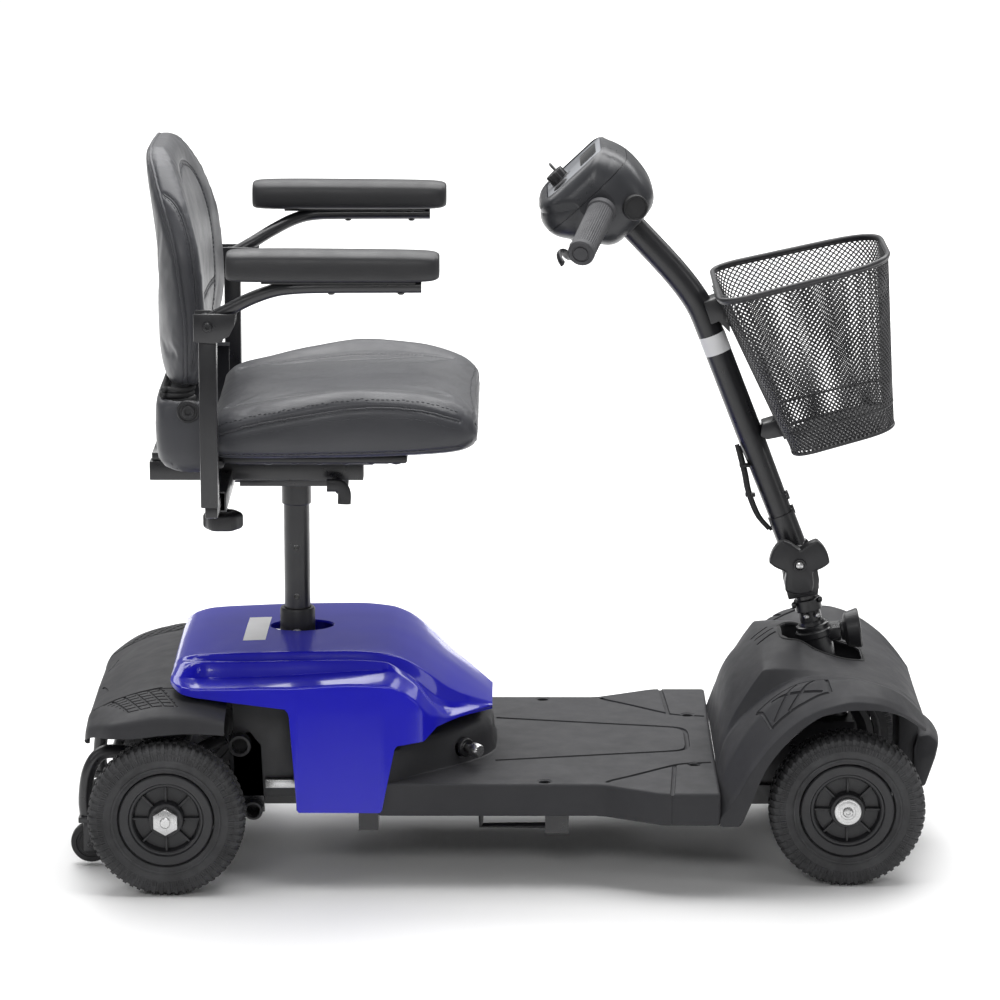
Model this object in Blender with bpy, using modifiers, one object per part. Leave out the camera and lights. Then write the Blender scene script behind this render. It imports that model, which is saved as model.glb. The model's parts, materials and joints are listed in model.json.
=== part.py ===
"""A compact four-wheel travel mobility scooter, as an assembly of separate parts.

Metres. +X is forward, +Y is the rider's left, +Z is up, and Z = 0 is the floor under the tyres.
Every part is one closed solid. Parts that move hang from an empty that stands on their joint's axis.
"""

import math

import bmesh
import bpy
from mathutils import Matrix, Vector

# ---------------------------------------------------------------- driving dimensions
WHEEL_RADIUS = 0.100
RIM_RADIUS = 0.060
TYRE_HALF_WIDTH = 0.025
WHEEL_SIDES = 24
REAR_AXLE_X = -0.431
FRONT_AXLE_X = 0.432
REAR_TYRE_Y = 0.225
FRONT_TYRE_Y = 0.180
KINGPIN_Y = 0.128
STEERING_ARM = 0.055

STEER_FOOT = Vector((0.397, 0.0, 0.293))
TILT_PIVOT = Vector((0.376, 0.0, 0.385))
STEER_AXIS = (TILT_PIVOT - STEER_FOOT).normalized()
CLEVIS_HALF_GAP = 0.0195
TILT_BOLT_HOLE = 0.0052
LOCK_KNOB_FOOT = Vector((0.4345, 0.0, 0.2862))
LOCK_KNOB_AXIS = Vector((1.0, 0.0, 0.155)).normalized()

DECK_TOP = 0.139
DECK_BOTTOM = 0.096
DECK_HALF_WIDTH = 0.214
BODY_HALF_WIDTH = 0.256
RAIL_LOW = 0.068
RAIL_HIGH = 0.093
WALL = 0.003

POST_X = -0.274
POST_RADIUS = 0.017
BACK_HINGE = Vector((-0.396, 0.0, 0.619))
ARM_Y = 0.250
ARM_BAR_X = -0.366
PAD_Y = 0.286
GAP = 0.0005

LEFT = 1
RIGHT = -1
SIDES = (("left", LEFT), ("right", RIGHT))

# ---------------------------------------------------------------- finishes: colour, roughness, metallic
FINISHES = {
    "textured_black": ((0.045, 0.045, 0.048, 1), 0.62, 0.0),
    "gloss_blue": ((0.020, 0.012, 0.500, 1), 0.18, 0.0),
    "black_paint": ((0.014, 0.014, 0.016, 1), 0.38, 0.2),
    "black_rubber": ((0.020, 0.020, 0.021, 1), 0.80, 0.0),
    "grip_rubber": ((0.060, 0.060, 0.062, 1), 0.70, 0.0),
    "grey_vinyl": ((0.055, 0.056, 0.062, 1), 0.42, 0.0),
    "zinc_steel": ((0.620, 0.620, 0.610, 1), 0.30, 1.0),
    "cast_metal": ((0.330, 0.330, 0.340, 1), 0.45, 0.9),
    "satin_silver": ((0.480, 0.480, 0.500, 1), 0.30, 0.6),
    "battery_grey": ((0.120, 0.120, 0.125, 1), 0.55, 0.0),
}


# ---------------------------------------------------------------- scene and finish helpers
def clear_scene():
    """Start from an empty scene."""
    for obj in list(bpy.data.objects):
        bpy.data.objects.remove(obj, do_unlink=True)


def make_collection(name):
    collection = bpy.data.collections.new(name)
    bpy.context.scene.collection.children.link(collection)
    return collection


def finish_material(finish):
    """The shared Principled material of one finish."""
    known = bpy.data.materials.get(finish)
    if known:
        return known
    colour, roughness, metallic = FINISHES[finish]
    material = bpy.data.materials.new(finish)
    material.use_nodes = True
    shader = material.node_tree.nodes["Principled BSDF"]
    shader.inputs["Base Color"].default_value = colour
    shader.inputs["Roughness"].default_value = roughness
    shader.inputs["Metallic"].default_value = metallic
    material.diffuse_color = colour
    return material


clear_scene()
SCOOTER = make_collection("mobility_scooter")


def add_object(name, data):
    obj = bpy.data.objects.new(name, data)
    SCOOTER.objects.link(obj)
    return obj


def face_outwards(shape):
    """Turn every face of a closed shape to the outside."""
    bmesh.ops.recalc_face_normals(shape, faces=shape.faces)
    if shape.calc_volume(signed=True) < 0:
        bmesh.ops.reverse_faces(shape, faces=shape.faces)


def settle(obj):
    """Replace an object by a mesh of its evaluated shape in world axes, with doubled points joined."""
    bpy.context.view_layer.update()
    graph = bpy.context.evaluated_depsgraph_get()
    mesh = bpy.data.meshes.new_from_object(obj.evaluated_get(graph))
    mesh.transform(obj.matrix_world)
    shape = bmesh.new()
    shape.from_mesh(mesh)
    bmesh.ops.remove_doubles(shape, verts=shape.verts, dist=1e-6)
    face_outwards(shape)
    shape.to_mesh(mesh)
    shape.free()
    name = obj.name
    bpy.data.objects.remove(obj, do_unlink=True)
    return add_object(name, mesh)


def shape_object(name, shape):
    mesh = bpy.data.meshes.new(name)
    face_outwards(shape)
    shape.to_mesh(mesh)
    shape.free()
    return add_object(name, mesh)


def combine(operation, target, others):
    """Boolean each of the others into the target, and remove them."""
    for other in others:
        step = target.modifiers.new(operation.lower(), "BOOLEAN")
        step.operation = operation
        step.solver = "EXACT"
        step.object = other
        target = settle(target)
        bpy.data.objects.remove(other, do_unlink=True)
    return target


def union(target, *others):
    return combine("UNION", target, others)


def cut(target, *others):
    return combine("DIFFERENCE", target, others)


def finished(obj, name, finish, smooth_below=35):
    """Give a solid its name and finish, and shade its round parts smooth."""
    obj.name = name
    obj.data.name = name
    obj.data.materials.clear()
    obj.data.materials.append(finish_material(finish))
    obj.data.shade_smooth()
    obj.data.set_sharp_from_angle(angle=math.radians(smooth_below))
    return obj


# ---------------------------------------------------------------- shape helpers
def block(low, high, bevel=0.0, segments=2):
    """A box between two corners, with its edges rounded by a Bevel."""
    low = Vector(low)
    high = Vector(high)
    shape = bmesh.new()
    bmesh.ops.create_cube(shape, size=1.0)
    bmesh.ops.scale(shape, vec=high - low, verts=shape.verts)
    bmesh.ops.translate(shape, vec=(low + high) / 2, verts=shape.verts)
    obj = shape_object("block", shape)
    if bevel:
        rounding = obj.modifiers.new("rounding", "BEVEL")
        rounding.width = bevel
        rounding.segments = segments
        obj = settle(obj)
    return obj


def both_sides(low, high, bevel=0.0):
    """A box at +Y and its mirror image at -Y, as two objects."""
    mirrored_low = (low[0], -high[1], low[2])
    mirrored_high = (high[0], -low[1], high[2])
    return block(low, high, bevel), block(mirrored_low, mirrored_high, bevel)


def rod(start, end, radius, sides=16, end_radius=None):
    """A round bar between two points, tapered where end_radius is given."""
    start = Vector(start)
    end = Vector(end)
    shape = bmesh.new()
    bmesh.ops.create_cone(
        shape,
        cap_ends=True,
        segments=sides,
        radius1=radius,
        radius2=radius if end_radius is None else end_radius,
        depth=(end - start).length,
    )
    turn = (end - start).to_track_quat("Z", "Y").to_matrix().to_4x4()
    shape.transform(Matrix.Translation((start + end) / 2) @ turn)
    return shape_object("rod", shape)


def cross_rod(centre, half_length, radius, sides=16):
    """A round bar across the scooter, centred on a point."""
    reach = Vector((0, half_length, 0))
    return rod(Vector(centre) - reach, Vector(centre) + reach, radius, sides)


def span(sign, near, far):
    """The low and high Y of something that runs from near to far on one side."""
    return sorted((sign * near, sign * far))


def tube(points, radius, bevel_resolution=2):
    """A round tube through the points, with filled caps."""
    curve = bpy.data.curves.new("tube", "CURVE")
    curve.dimensions = "3D"
    curve.bevel_depth = radius
    curve.bevel_resolution = bevel_resolution
    curve.use_fill_caps = True
    spline = curve.splines.new("POLY")
    spline.points.add(len(points) - 1)
    for knot, point in zip(spline.points, points):
        knot.co = (*point, 1.0)
    return settle(add_object("tube", curve))


def smooth_path(points, steps):
    """Points along the Catmull-Rom curve through the given points."""
    route = [Vector(point) for point in points]
    route = [2 * route[0] - route[1], *route, 2 * route[-1] - route[-2]]
    path = []
    for before, start, end, after in zip(route, route[1:], route[2:], route[3:]):
        for step in range(steps):
            t = step / steps
            path.append(
                0.5
                * (
                    2 * start
                    + (end - before) * t
                    + (2 * before - 5 * start + 4 * end - after) * t**2
                    + (3 * start - before - 3 * end + after) * t**3
                )
            )
    path.append(route[-2])
    return path


def plate(outline, plane, low, high):
    """A flat outline given in the XY, XZ or YZ plane, filled from low to high along the third axis."""
    curve = bpy.data.curves.new("plate", "CURVE")
    curve.dimensions = "2D"
    curve.fill_mode = "BOTH"
    curve.extrude = (high - low) / 2
    spline = curve.splines.new("POLY")
    spline.use_cyclic_u = True
    spline.points.add(len(outline) - 1)
    for knot, (first, second) in zip(spline.points, outline):
        knot.co = (first, second, 0.0, 1.0)
    obj = add_object("plate", curve)
    middle = (low + high) / 2
    frames = {
        "XY": Matrix.Translation((0, 0, middle)),
        "XZ": Matrix.Translation((0, middle, 0)) @ Matrix.Rotation(math.pi / 2, 4, "X"),
        "YZ": Matrix.Translation((middle, 0, 0))
        @ Matrix(((0, 0, 1, 0), (1, 0, 0, 0), (0, 1, 0, 0), (0, 0, 0, 1))),
    }
    obj.matrix_world = frames[plane]
    return settle(obj)


def ring(points, centre, axis, steps, phase=0.0):
    """A closed profile of (radius, height) points turned about an axis by a Screw modifier."""
    mesh = bpy.data.meshes.new("ring")
    count = len(points)
    edges = [(index, (index + 1) % count) for index in range(count)]
    mesh.from_pydata([(radius, 0.0, height) for radius, height in points], edges, [])
    obj = add_object("ring", mesh)
    screw = obj.modifiers.new("turning", "SCREW")
    screw.steps = steps
    screw.render_steps = steps
    screw.use_merge_vertices = True
    screw.merge_threshold = 0.0001
    turn = Vector(axis).to_track_quat("Z", "X").to_matrix().to_4x4()
    obj.matrix_world = Matrix.Translation(centre) @ turn @ Matrix.Rotation(phase, 4, "Z")
    return settle(obj)


def loft(sections):
    """A closed solid skinned through sections with the same number of points."""
    shape = bmesh.new()
    rows = [[shape.verts.new(point) for point in section] for section in sections]
    count = len(sections[0])
    for first, second in zip(rows, rows[1:]):
        for index in range(count):
            after = (index + 1) % count
            shape.faces.new((first[index], first[after], second[after], second[index]))
    shape.faces.new(rows[0][::-1])
    shape.faces.new(rows[-1])
    return shape_object("loft", shape)


def shell(stations, thickness):
    """A mirrored skin through rows of (x, y, z) points from the middle outwards, with a wall inside it."""
    shape = bmesh.new()
    rows = []
    for station in stations:
        near_side = [(x, -y, z) for x, y, z in reversed(station[1:])]
        rows.append([shape.verts.new(point) for point in [*near_side, *station]])
    for first, second in zip(rows, rows[1:]):
        for index in range(len(first) - 1):
            corners = (first[index], first[index + 1], second[index + 1], second[index])
            shape.faces.new(corners)
    mesh = bpy.data.meshes.new("shell")
    shape.to_mesh(mesh)
    shape.free()
    obj = add_object("shell", mesh)
    wall = obj.modifiers.new("wall", "SOLIDIFY")
    wall.thickness = thickness
    wall.offset = -1
    wall.use_even_offset = True
    return settle(obj)


def mirrored_loft(sections):
    """A loft whose sections are given from the middle (Y = 0) outwards and back, and mirrored to -Y."""
    whole = []
    for section in sections:
        far = [(x, -y, z) for x, y, z in reversed(section) if y > 0]
        whole.append([*section, *far])
    return loft(whole)


# ---------------------------------------------------------------- joints
PARTS = {}


def keep(name, obj, finish):
    PARTS[name] = finished(obj, name, finish)


def pivot(name, at, members, parent=None):
    """An empty on a joint's axis, which carries the parts that turn or slide there."""
    empty = bpy.data.objects.new(name, None)
    empty.empty_display_size = 0.03
    SCOOTER.objects.link(empty)
    empty.location = at
    bpy.context.view_layer.update()
    if parent:
        empty.parent = parent
        empty.matrix_parent_inverse = parent.matrix_world.inverted()
    bpy.context.view_layer.update()
    for member in members:
        part = PARTS[member]
        part.data.transform(Matrix.Translation(-Vector(at)))
        part.parent = empty
    return empty


# ---------------------------------------------------------------- wheels
FACET_SCALE = 1 / math.cos(math.pi / WHEEL_SIDES)
FACET_PHASE = math.pi / WHEEL_SIDES
AXLE_BORE = 0.0095
HUB_FACE = 0.0215

TYRE_PROFILE = (
    (RIM_RADIUS + GAP, 0.019),
    (0.075, TYRE_HALF_WIDTH),
    (0.093, 0.023),
    (WHEEL_RADIUS, 0.017),
    (WHEEL_RADIUS, -0.017),
    (0.093, -0.023),
    (0.075, -TYRE_HALF_WIDTH),
    (RIM_RADIUS + GAP, -0.019),
)
HUB_PROFILE = (
    (AXLE_BORE, HUB_FACE),
    (0.022, HUB_FACE),
    (0.024, 0.006),
    (0.041, 0.006),
    (0.047, 0.0185),
    (RIM_RADIUS, 0.0185),
    (RIM_RADIUS, -0.0185),
    (0.052, -0.0185),
    (0.040, -0.004),
    (0.024, -0.004),
    (0.022, -0.020),
    (AXLE_BORE, -0.020),
)


def wheel_ring(profile, centre, outward):
    scaled = [(radius * FACET_SCALE, height) for radius, height in profile]
    return ring(scaled, centre, (0, outward, 0), WHEEL_SIDES, FACET_PHASE)


def make_wheels():
    for end, axle_x, tyre_y in (
        ("rear", REAR_AXLE_X, REAR_TYRE_Y),
        ("front", FRONT_AXLE_X, FRONT_TYRE_Y),
    ):
        for side, sign in SIDES:
            centre = (axle_x, sign * tyre_y, WHEEL_RADIUS)
            keep(f"{end}_tyre_{side}", wheel_ring(TYRE_PROFILE, centre, sign), "black_rubber")
            keep(f"{end}_hub_{side}", wheel_ring(HUB_PROFILE, centre, sign), "textured_black")


def make_rear_axles():
    """A half shaft each side, from the gearbox out through the hub to its nut."""
    nut_from = REAR_TYRE_Y + HUB_FACE + GAP
    nut_to = nut_from + 0.0085
    for side, sign in SIDES:
        shaft_start = (REAR_AXLE_X, sign * 0.004, WHEEL_RADIUS)
        shaft_end = (REAR_AXLE_X, sign * (nut_to - 0.002), WHEEL_RADIUS)
        nut_start = (REAR_AXLE_X, sign * nut_from, WHEEL_RADIUS)
        nut_end = (REAR_AXLE_X, sign * nut_to, WHEEL_RADIUS)
        shaft = rod(shaft_start, shaft_end, 0.0083, 12)
        nut = rod(nut_start, nut_end, 0.0175, 6)
        keep(f"rear_axle_{side}", union(shaft, nut), "zinc_steel")


# ---------------------------------------------------------------- front axle and steering
PIN_RADIUS = 0.0065


def make_knuckles():
    """Each knuckle has a barrel on the kingpin, a stub axle with its cap, and a steering arm."""
    for side, sign in SIDES:

        def at(x, y, z, sign=sign):
            return (FRONT_AXLE_X + x, sign * (KINGPIN_Y + y), z)

        barrel = rod(at(0, 0, 0.0845), at(0, 0, 0.1155), 0.015)
        stub = rod(at(0, 0.010, WHEEL_RADIUS), at(0, 0.0765, WHEEL_RADIUS), 0.008, 12)
        shoulder = rod(at(0, 0.012, WHEEL_RADIUS), at(0, 0.031, WHEEL_RADIUS), 0.012, 12)
        cap = rod(at(0, 0.074, WHEEL_RADIUS), at(0, 0.078, WHEEL_RADIUS), 0.0175, 16, 0.0160)
        arm_outline = [
            (x + FRONT_AXLE_X, sign * (y + KINGPIN_Y))
            for x, y in (
                (-0.006, 0.006),
                (-STEERING_ARM, -0.003),
                (-STEERING_ARM - 0.006, -0.008),
                (-STEERING_ARM, -0.013),
                (-0.004, -0.006),
            )
        ]
        arm = plate(arm_outline, "XY", 0.095, 0.105)
        knuckle = union(barrel, stub, shoulder, cap, arm)
        bore = rod(at(0, 0, 0.07), at(0, 0, 0.13), 0.0085)
        keep(f"steering_knuckle_{side}", cut(knuckle, bore), "zinc_steel")


def make_tie_rod():
    low = 0.078
    high = 0.090
    middle = (low + high) / 2
    x = FRONT_AXLE_X - STEERING_ARM
    bar = rod((x, -0.114, middle), (x, 0.114, middle), 0.005, 10)
    eyes = [rod((x, sign * 0.120, low), (x, sign * 0.120, high), 0.008, 12) for _, sign in SIDES]
    keep("tie_rod", union(bar, *eyes), "zinc_steel")


def steer_point(height):
    """The point of the raked steering axis at a height above the floor."""
    return STEER_FOOT + STEER_AXIS * ((height - STEER_FOOT.z) / STEER_AXIS.z)


def make_main_frame():
    """Twin rails under the deck, the front axle beam with its kingpins, and the head tube."""
    frame = block((-0.190, -0.180, RAIL_LOW), (-0.165, 0.180, RAIL_HIGH))
    pieces = list(both_sides((-0.190, 0.035, RAIL_LOW), (0.362, 0.060, RAIL_HIGH)))
    pieces.append(block((0.048, -0.180, 0.064), (0.078, 0.180, RAIL_HIGH)))
    pieces.append(block((0.337, -0.060, RAIL_LOW), (0.362, 0.060, RAIL_HIGH)))
    cheek = (
        (0.325, 0.080),
        (0.360, 0.080),
        (0.366, 0.0925),
        (0.445, 0.0925),
        (0.452, 0.120),
        (0.450, 0.176),
        (0.395, 0.176),
        (0.325, 0.110),
    )
    pieces += [plate(cheek, "XZ", *span(sign, 0.042, 0.050)) for _, sign in SIDES]
    pieces.append(block((0.396, -0.048, 0.166), (0.449, 0.048, 0.175)))
    pieces.append(block((0.423, -0.100, 0.092), (0.441, 0.100, 0.110)))
    yoke_low = 0.0785
    yoke_high = 0.1215
    for _, sign in SIDES:
        for low, high in ((yoke_low, 0.0835), (0.1165, yoke_high)):
            y_low, y_high = span(sign, 0.097, 0.141)
            pieces.append(block((0.418, y_low, low), (0.446, y_high, high)))
        y_low, y_high = span(sign, 0.096, 0.108)
        pin_low = yoke_low + 0.001
        pin_high = yoke_high - 0.001
        pieces.append(block((0.4225, y_low, pin_low), (0.4415, y_high, pin_high)))
        kingpin = (FRONT_AXLE_X, sign * KINGPIN_Y)
        pieces.append(rod((*kingpin, pin_low), (*kingpin, pin_high), PIN_RADIUS, 12))
        hanger = (
            (0.055, 0.150, 0.066),
            (-0.034, 0.150, 0.066),
            (-0.034, 0.150, 0.088),
            (-0.034, 0.050, 0.088),
        )
        pieces.append(tube([(x, sign * y, z) for x, y, z in hanger], 0.004, 1))
        y_low, y_high = span(sign, 0.100, 0.130)
        pieces.append(block((-0.189, y_low, 0.055), (-0.170, y_high, 0.072)))
    pieces.append(rod(steer_point(0.160), steer_point(0.290), 0.0215))
    lock_boss_start = LOCK_KNOB_FOOT - LOCK_KNOB_AXIS * 0.0298
    lock_boss_end = LOCK_KNOB_FOOT - LOCK_KNOB_AXIS * 0.0010
    pieces.append(rod(lock_boss_start, lock_boss_end, 0.011, 12))
    frame = union(frame, *pieces)
    bore = rod(steer_point(0.140), steer_point(0.310), 0.0160)
    stud_hole_start = LOCK_KNOB_FOOT - LOCK_KNOB_AXIS * 0.0197
    stud_hole_end = LOCK_KNOB_FOOT + LOCK_KNOB_AXIS * 0.0056
    stud_hole = rod(stud_hole_start, stud_hole_end, 0.0045, 12)
    keep("main_frame", cut(frame, bore, stud_hole), "black_paint")


def make_steering_column():
    """The raked column: a pitman arm at its foot and the clevis of the tilt joint on top."""
    column = rod(steer_point(0.124), steer_point(0.346), 0.014)
    pitman = block((0.3730, -0.006, 0.1225), (0.4370, 0.006, 0.1330))
    drag_pin = rod((0.3785, 0, 0.093), (0.3785, 0, 0.125), 0.004, 10)
    collar = rod(steer_point(0.2915), steer_point(0.3000), 0.0185)
    clevis_outline = (
        (0.366, 0.335),
        (0.404, 0.343),
        (0.399, 0.385),
        (0.392, 0.402),
        (0.372, 0.405),
        (0.356, 0.394),
        (0.357, 0.370),
    )
    clevis = plate(clevis_outline, "XZ", -0.026, 0.026)
    column = union(column, pitman, drag_pin, collar, clevis)
    slot_outline = ((0.330, 0.353), (0.420, 0.372), (0.420, 0.430), (0.330, 0.430))
    slot = plate(slot_outline, "XZ", -CLEVIS_HALF_GAP, CLEVIS_HALF_GAP)
    bolt_hole = cross_rod(TILT_PIVOT, 0.040, TILT_BOLT_HOLE, 12)
    keep("steering_column", cut(column, slot, bolt_hole), "black_paint")


def lobed_outline(centre, inner, outer, lobes, turn, steps=24):
    """A hand knob's outline, whose radius swings between inner and outer."""
    outline = []
    for step in range(steps):
        angle = 2 * math.pi * step / steps
        swing = 0.5 + 0.5 * math.cos(lobes * (angle - turn))
        radius = inner + (outer - inner) * swing
        outline.append((centre[0] + radius * math.cos(angle), centre[1] + radius * math.sin(angle)))
    return outline


def make_steering_knobs():
    x = TILT_PIVOT.x
    z = TILT_PIVOT.z
    lobes = plate(lobed_outline((x, z), 0.016, 0.038, 3, -math.pi / 2), "XZ", -0.052, -0.030)
    boss = rod((x, -0.054, z), (x, -0.0268, z), 0.013, 12)
    stud = rod((x, -0.030, z), (x, 0.030, z), 0.004, 10)
    nut = rod((x, 0.0268, z), (x, 0.032, z), 0.009, 6)
    keep("tiller_tilt_knob", union(lobes, boss, stud, nut), "textured_black")
    knob_profile = (
        (0.0, 0.025),
        (0.021, 0.025),
        (0.0265, 0.020),
        (0.024, 0.004),
        (0.013, 0.0),
        (0.0, 0.0),
    )
    knob = ring(knob_profile, LOCK_KNOB_FOOT, LOCK_KNOB_AXIS, 16)
    stud = rod(
        LOCK_KNOB_FOOT - LOCK_KNOB_AXIS * 0.0170,
        LOCK_KNOB_FOOT + LOCK_KNOB_AXIS * 0.0055,
        0.0035,
        10,
    )
    keep("steering_lock_knob", union(knob, stud), "textured_black")


# ---------------------------------------------------------------- deck and front shroud
def make_deck_panel():
    """The floor tray: a skirted plate that flares in front, with a riser under the battery shroud."""
    outline = (
        (-0.165, DECK_HALF_WIDTH),
        (0.122, DECK_HALF_WIDTH),
        (0.198, BODY_HALF_WIDTH),
        (0.268, BODY_HALF_WIDTH),
    )
    whole = [*outline, *[(x, -y) for x, y in reversed(outline)]]
    deck = plate(whole, "XY", DECK_BOTTOM, DECK_TOP)
    riser_foot = (
        (-0.011, 0.000, 0.1375),
        (-0.015, 0.060, 0.1375),
        (-0.051, 0.116, 0.1375),
        (-0.150, 0.210, 0.1375),
        (-0.163, 0.210, 0.1375),
        (-0.163, 0.000, 0.1375),
    )
    riser_shoulder = (
        (-0.012, 0.000, 0.184),
        (-0.018, 0.058, 0.180),
        (-0.055, 0.108, 0.176),
        (-0.145, 0.206, 0.176),
        (-0.163, 0.206, 0.176),
        (-0.163, 0.000, 0.178),
    )
    riser_top = (
        (-0.030, 0.000, 0.196),
        (-0.036, 0.050, 0.194),
        (-0.065, 0.098, 0.188),
        (-0.148, 0.198, 0.180),
        (-0.163, 0.198, 0.180),
        (-0.163, 0.000, 0.182),
    )
    riser = mirrored_loft((riser_foot, riser_shoulder, riser_top))
    deck = union(deck, riser)
    inner = [
        (outline[0][0] - 0.01, outline[0][1] - WALL),
        (outline[1][0], outline[1][1] - WALL),
        (outline[2][0], outline[2][1] - WALL),
        (outline[3][0] - WALL, outline[3][1] - WALL),
    ]
    hollow = plate([*inner, *[(x, -y) for x, y in reversed(inner)]], "XY", 0.05, DECK_TOP - WALL)
    battery_bay = block((-0.200, -0.186, 0.05), (-0.128, 0.186, 0.25))
    riser_hollow = block((-0.130, -0.085, 0.10), (-0.050, 0.085, 0.176))
    plunger_hole = rod((-0.078, -0.092, 0.160), (-0.030, -0.140, 0.160), 0.0055, 12)
    hole_places = ((0.047, -0.20), (0.047, 0.20), (0.240, -0.12), (0.240, 0.12))
    holes = [rod((x, y, 0.12), (x, y, 0.16), 0.004, 10) for x, y in hole_places]
    deck = cut(deck, hollow, battery_bay, riser_hollow, plunger_hole, *holes)
    keep("deck_panel", deck, "textured_black")


PLUNGER_AXIS = Vector((1, -1, 0)).normalized()
PLUNGER_MOUTH = Vector((-0.0535, -0.1165, 0.160))


def make_release_plunger():
    """The sprung latch that frees the rear half, in the riser's right-hand face."""
    stem_start = PLUNGER_MOUTH - PLUNGER_AXIS * 0.018
    stem_end = PLUNGER_MOUTH + PLUNGER_AXIS * 0.016
    head_start = PLUNGER_MOUTH + PLUNGER_AXIS * 0.013
    head_end = PLUNGER_MOUTH + PLUNGER_AXIS * 0.026
    stem = rod(stem_start, stem_end, 0.0045, 12)
    head = rod(head_start, head_end, 0.009, 16, 0.007)
    keep("release_plunger", union(stem, head), "zinc_steel")


def make_front_shroud():
    """The hood over the steering head, with a fender over each front wheel."""
    # x, middle height, hood shoulder height, fender height at the hood's foot, crease, lower edge, half width
    rows = (
        (0.2715, 0.139, 0.139, 0.132, 0.126, 0.097, 0.256),
        (0.2790, 0.222, 0.184, 0.178, 0.132, 0.097, 0.256),
        (0.3050, 0.257, 0.234, 0.215, 0.169, 0.122, 0.256),
        (0.3290, 0.276, 0.266, 0.238, 0.202, 0.177, 0.256),
        (0.3720, 0.290, 0.266, 0.259, 0.241, 0.226, 0.256),
        (0.4100, 0.268, 0.263, 0.262, 0.256, 0.244, 0.255),
        (0.4500, 0.255, 0.257, 0.260, 0.258, 0.247, 0.244),
        (0.4850, 0.242, 0.246, 0.249, 0.245, 0.234, 0.216),
        (0.5120, 0.223, 0.226, 0.228, 0.219, 0.212, 0.188),
        (0.5300, 0.206, 0.208, 0.209, 0.203, 0.197, 0.165),
    )
    stations = []
    for x, middle, shoulder, foot, crease, lower, half_width in rows:
        crown = 0.725 * middle + 0.275 * shoulder
        stations.append(
            (
                (x, 0.0, middle),
                (x, 0.055, crown),
                (x, min(0.122, 0.62 * half_width), shoulder),
                (x, min(0.144, 0.74 * half_width), foot),
                (x, half_width - 0.018, crease),
                (x, half_width - 0.004, crease - 0.006),
                (x, half_width, lower),
            )
        )
    skin = shell(stations, WALL)
    notch_half = ((0.355, 0.030), (0.372, 0.043), (0.452, 0.043), (0.468, 0.030))
    notch_outline = [*notch_half, *[(x, -y) for x, y in reversed(notch_half)]]
    notch = plate(notch_outline, "XY", 0.15, 0.35)
    keep("front_shroud", cut(skin, notch), "textured_black")


def make_front_bumper():
    """A curved block across the nose, between the two front wheels."""
    outer = ((0.565, 0.0), (0.5640, 0.040), (0.5615, 0.075), (0.5585, 0.095))
    inner = ((0.5315, 0.095), (0.5345, 0.075), (0.5365, 0.040), (0.5375, 0.0))
    half = [*outer, *inner]
    whole = [*half, *[(x, -y) for x, y in reversed(half) if y > 0]]
    bar = plate(whole, "XY", 0.109, 0.190)
    keep("front_bumper", bar, "textured_black")


# ---------------------------------------------------------------- rear chassis and drive
def make_rear_frame():
    frame = block((-0.365, -0.060, RAIL_LOW), (-0.345, 0.060, RAIL_HIGH))
    pieces = list(both_sides((-0.408, 0.035, RAIL_LOW), (-0.1905, 0.060, RAIL_HIGH)))
    pieces.append(rod((-0.326, -0.150, 0.086), (-0.326, 0.150, 0.086), 0.012))
    pieces.append(rod((-0.342, -0.155, 0.172), (-0.342, 0.155, 0.172), 0.014))
    link = (
        (-0.357, 0.180),
        (-0.330, 0.186),
        (-0.316, 0.168),
        (-0.312, 0.080),
        (-0.338, 0.076),
        (-0.358, 0.150),
    )
    pieces += [plate(link, "XZ", *span(sign, 0.130, 0.137)) for _, sign in SIDES]
    frame = union(frame, *pieces)
    open_ends = []
    for _, sign in SIDES:
        low_start = (-0.326, sign * 0.120, 0.086)
        low_end = (-0.326, sign * 0.170, 0.086)
        high_start = (-0.342, sign * 0.120, 0.172)
        high_end = (-0.342, sign * 0.170, 0.172)
        open_ends.append(rod(low_start, low_end, 0.0085, 12))
        open_ends.append(rod(high_start, high_end, 0.0105, 12))
    keep("rear_frame", cut(frame, *open_ends), "black_paint")


def make_drive():
    axle_centre = (REAR_AXLE_X, 0.0, WHEEL_RADIUS)
    housing = cross_rod(axle_centre, 0.033, 0.042, 20)
    case = block((-0.466, -0.030, 0.100), (-0.414, 0.030, 0.1405), 0.004)
    axle_tube = cross_rod(axle_centre, 0.190, 0.016)
    bore = cross_rod(axle_centre, 0.200, 0.0097, 12)
    keep("gearbox", cut(union(housing, case, axle_tube), bore), "cast_metal")
    motor_x = -0.445
    motor_z = 0.180
    motor = rod((motor_x, -0.072, motor_z), (motor_x, 0.060, motor_z), 0.034, 20)
    brake = rod((motor_x, 0.058, motor_z), (motor_x, 0.090, motor_z), 0.026)
    keep("drive_motor", union(motor, brake), "black_paint")
    controller = block((-0.398, -0.055, 0.194), (-0.312, 0.055, 0.232), 0.003)
    keep("controller_box", controller, "battery_grey")


ANTI_TIP_Y = 0.105
ANTI_TIP_AXLE = Vector((-0.5385, 0.0, 0.0302))
ANTI_TIP_RADIUS = 0.0265


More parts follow.
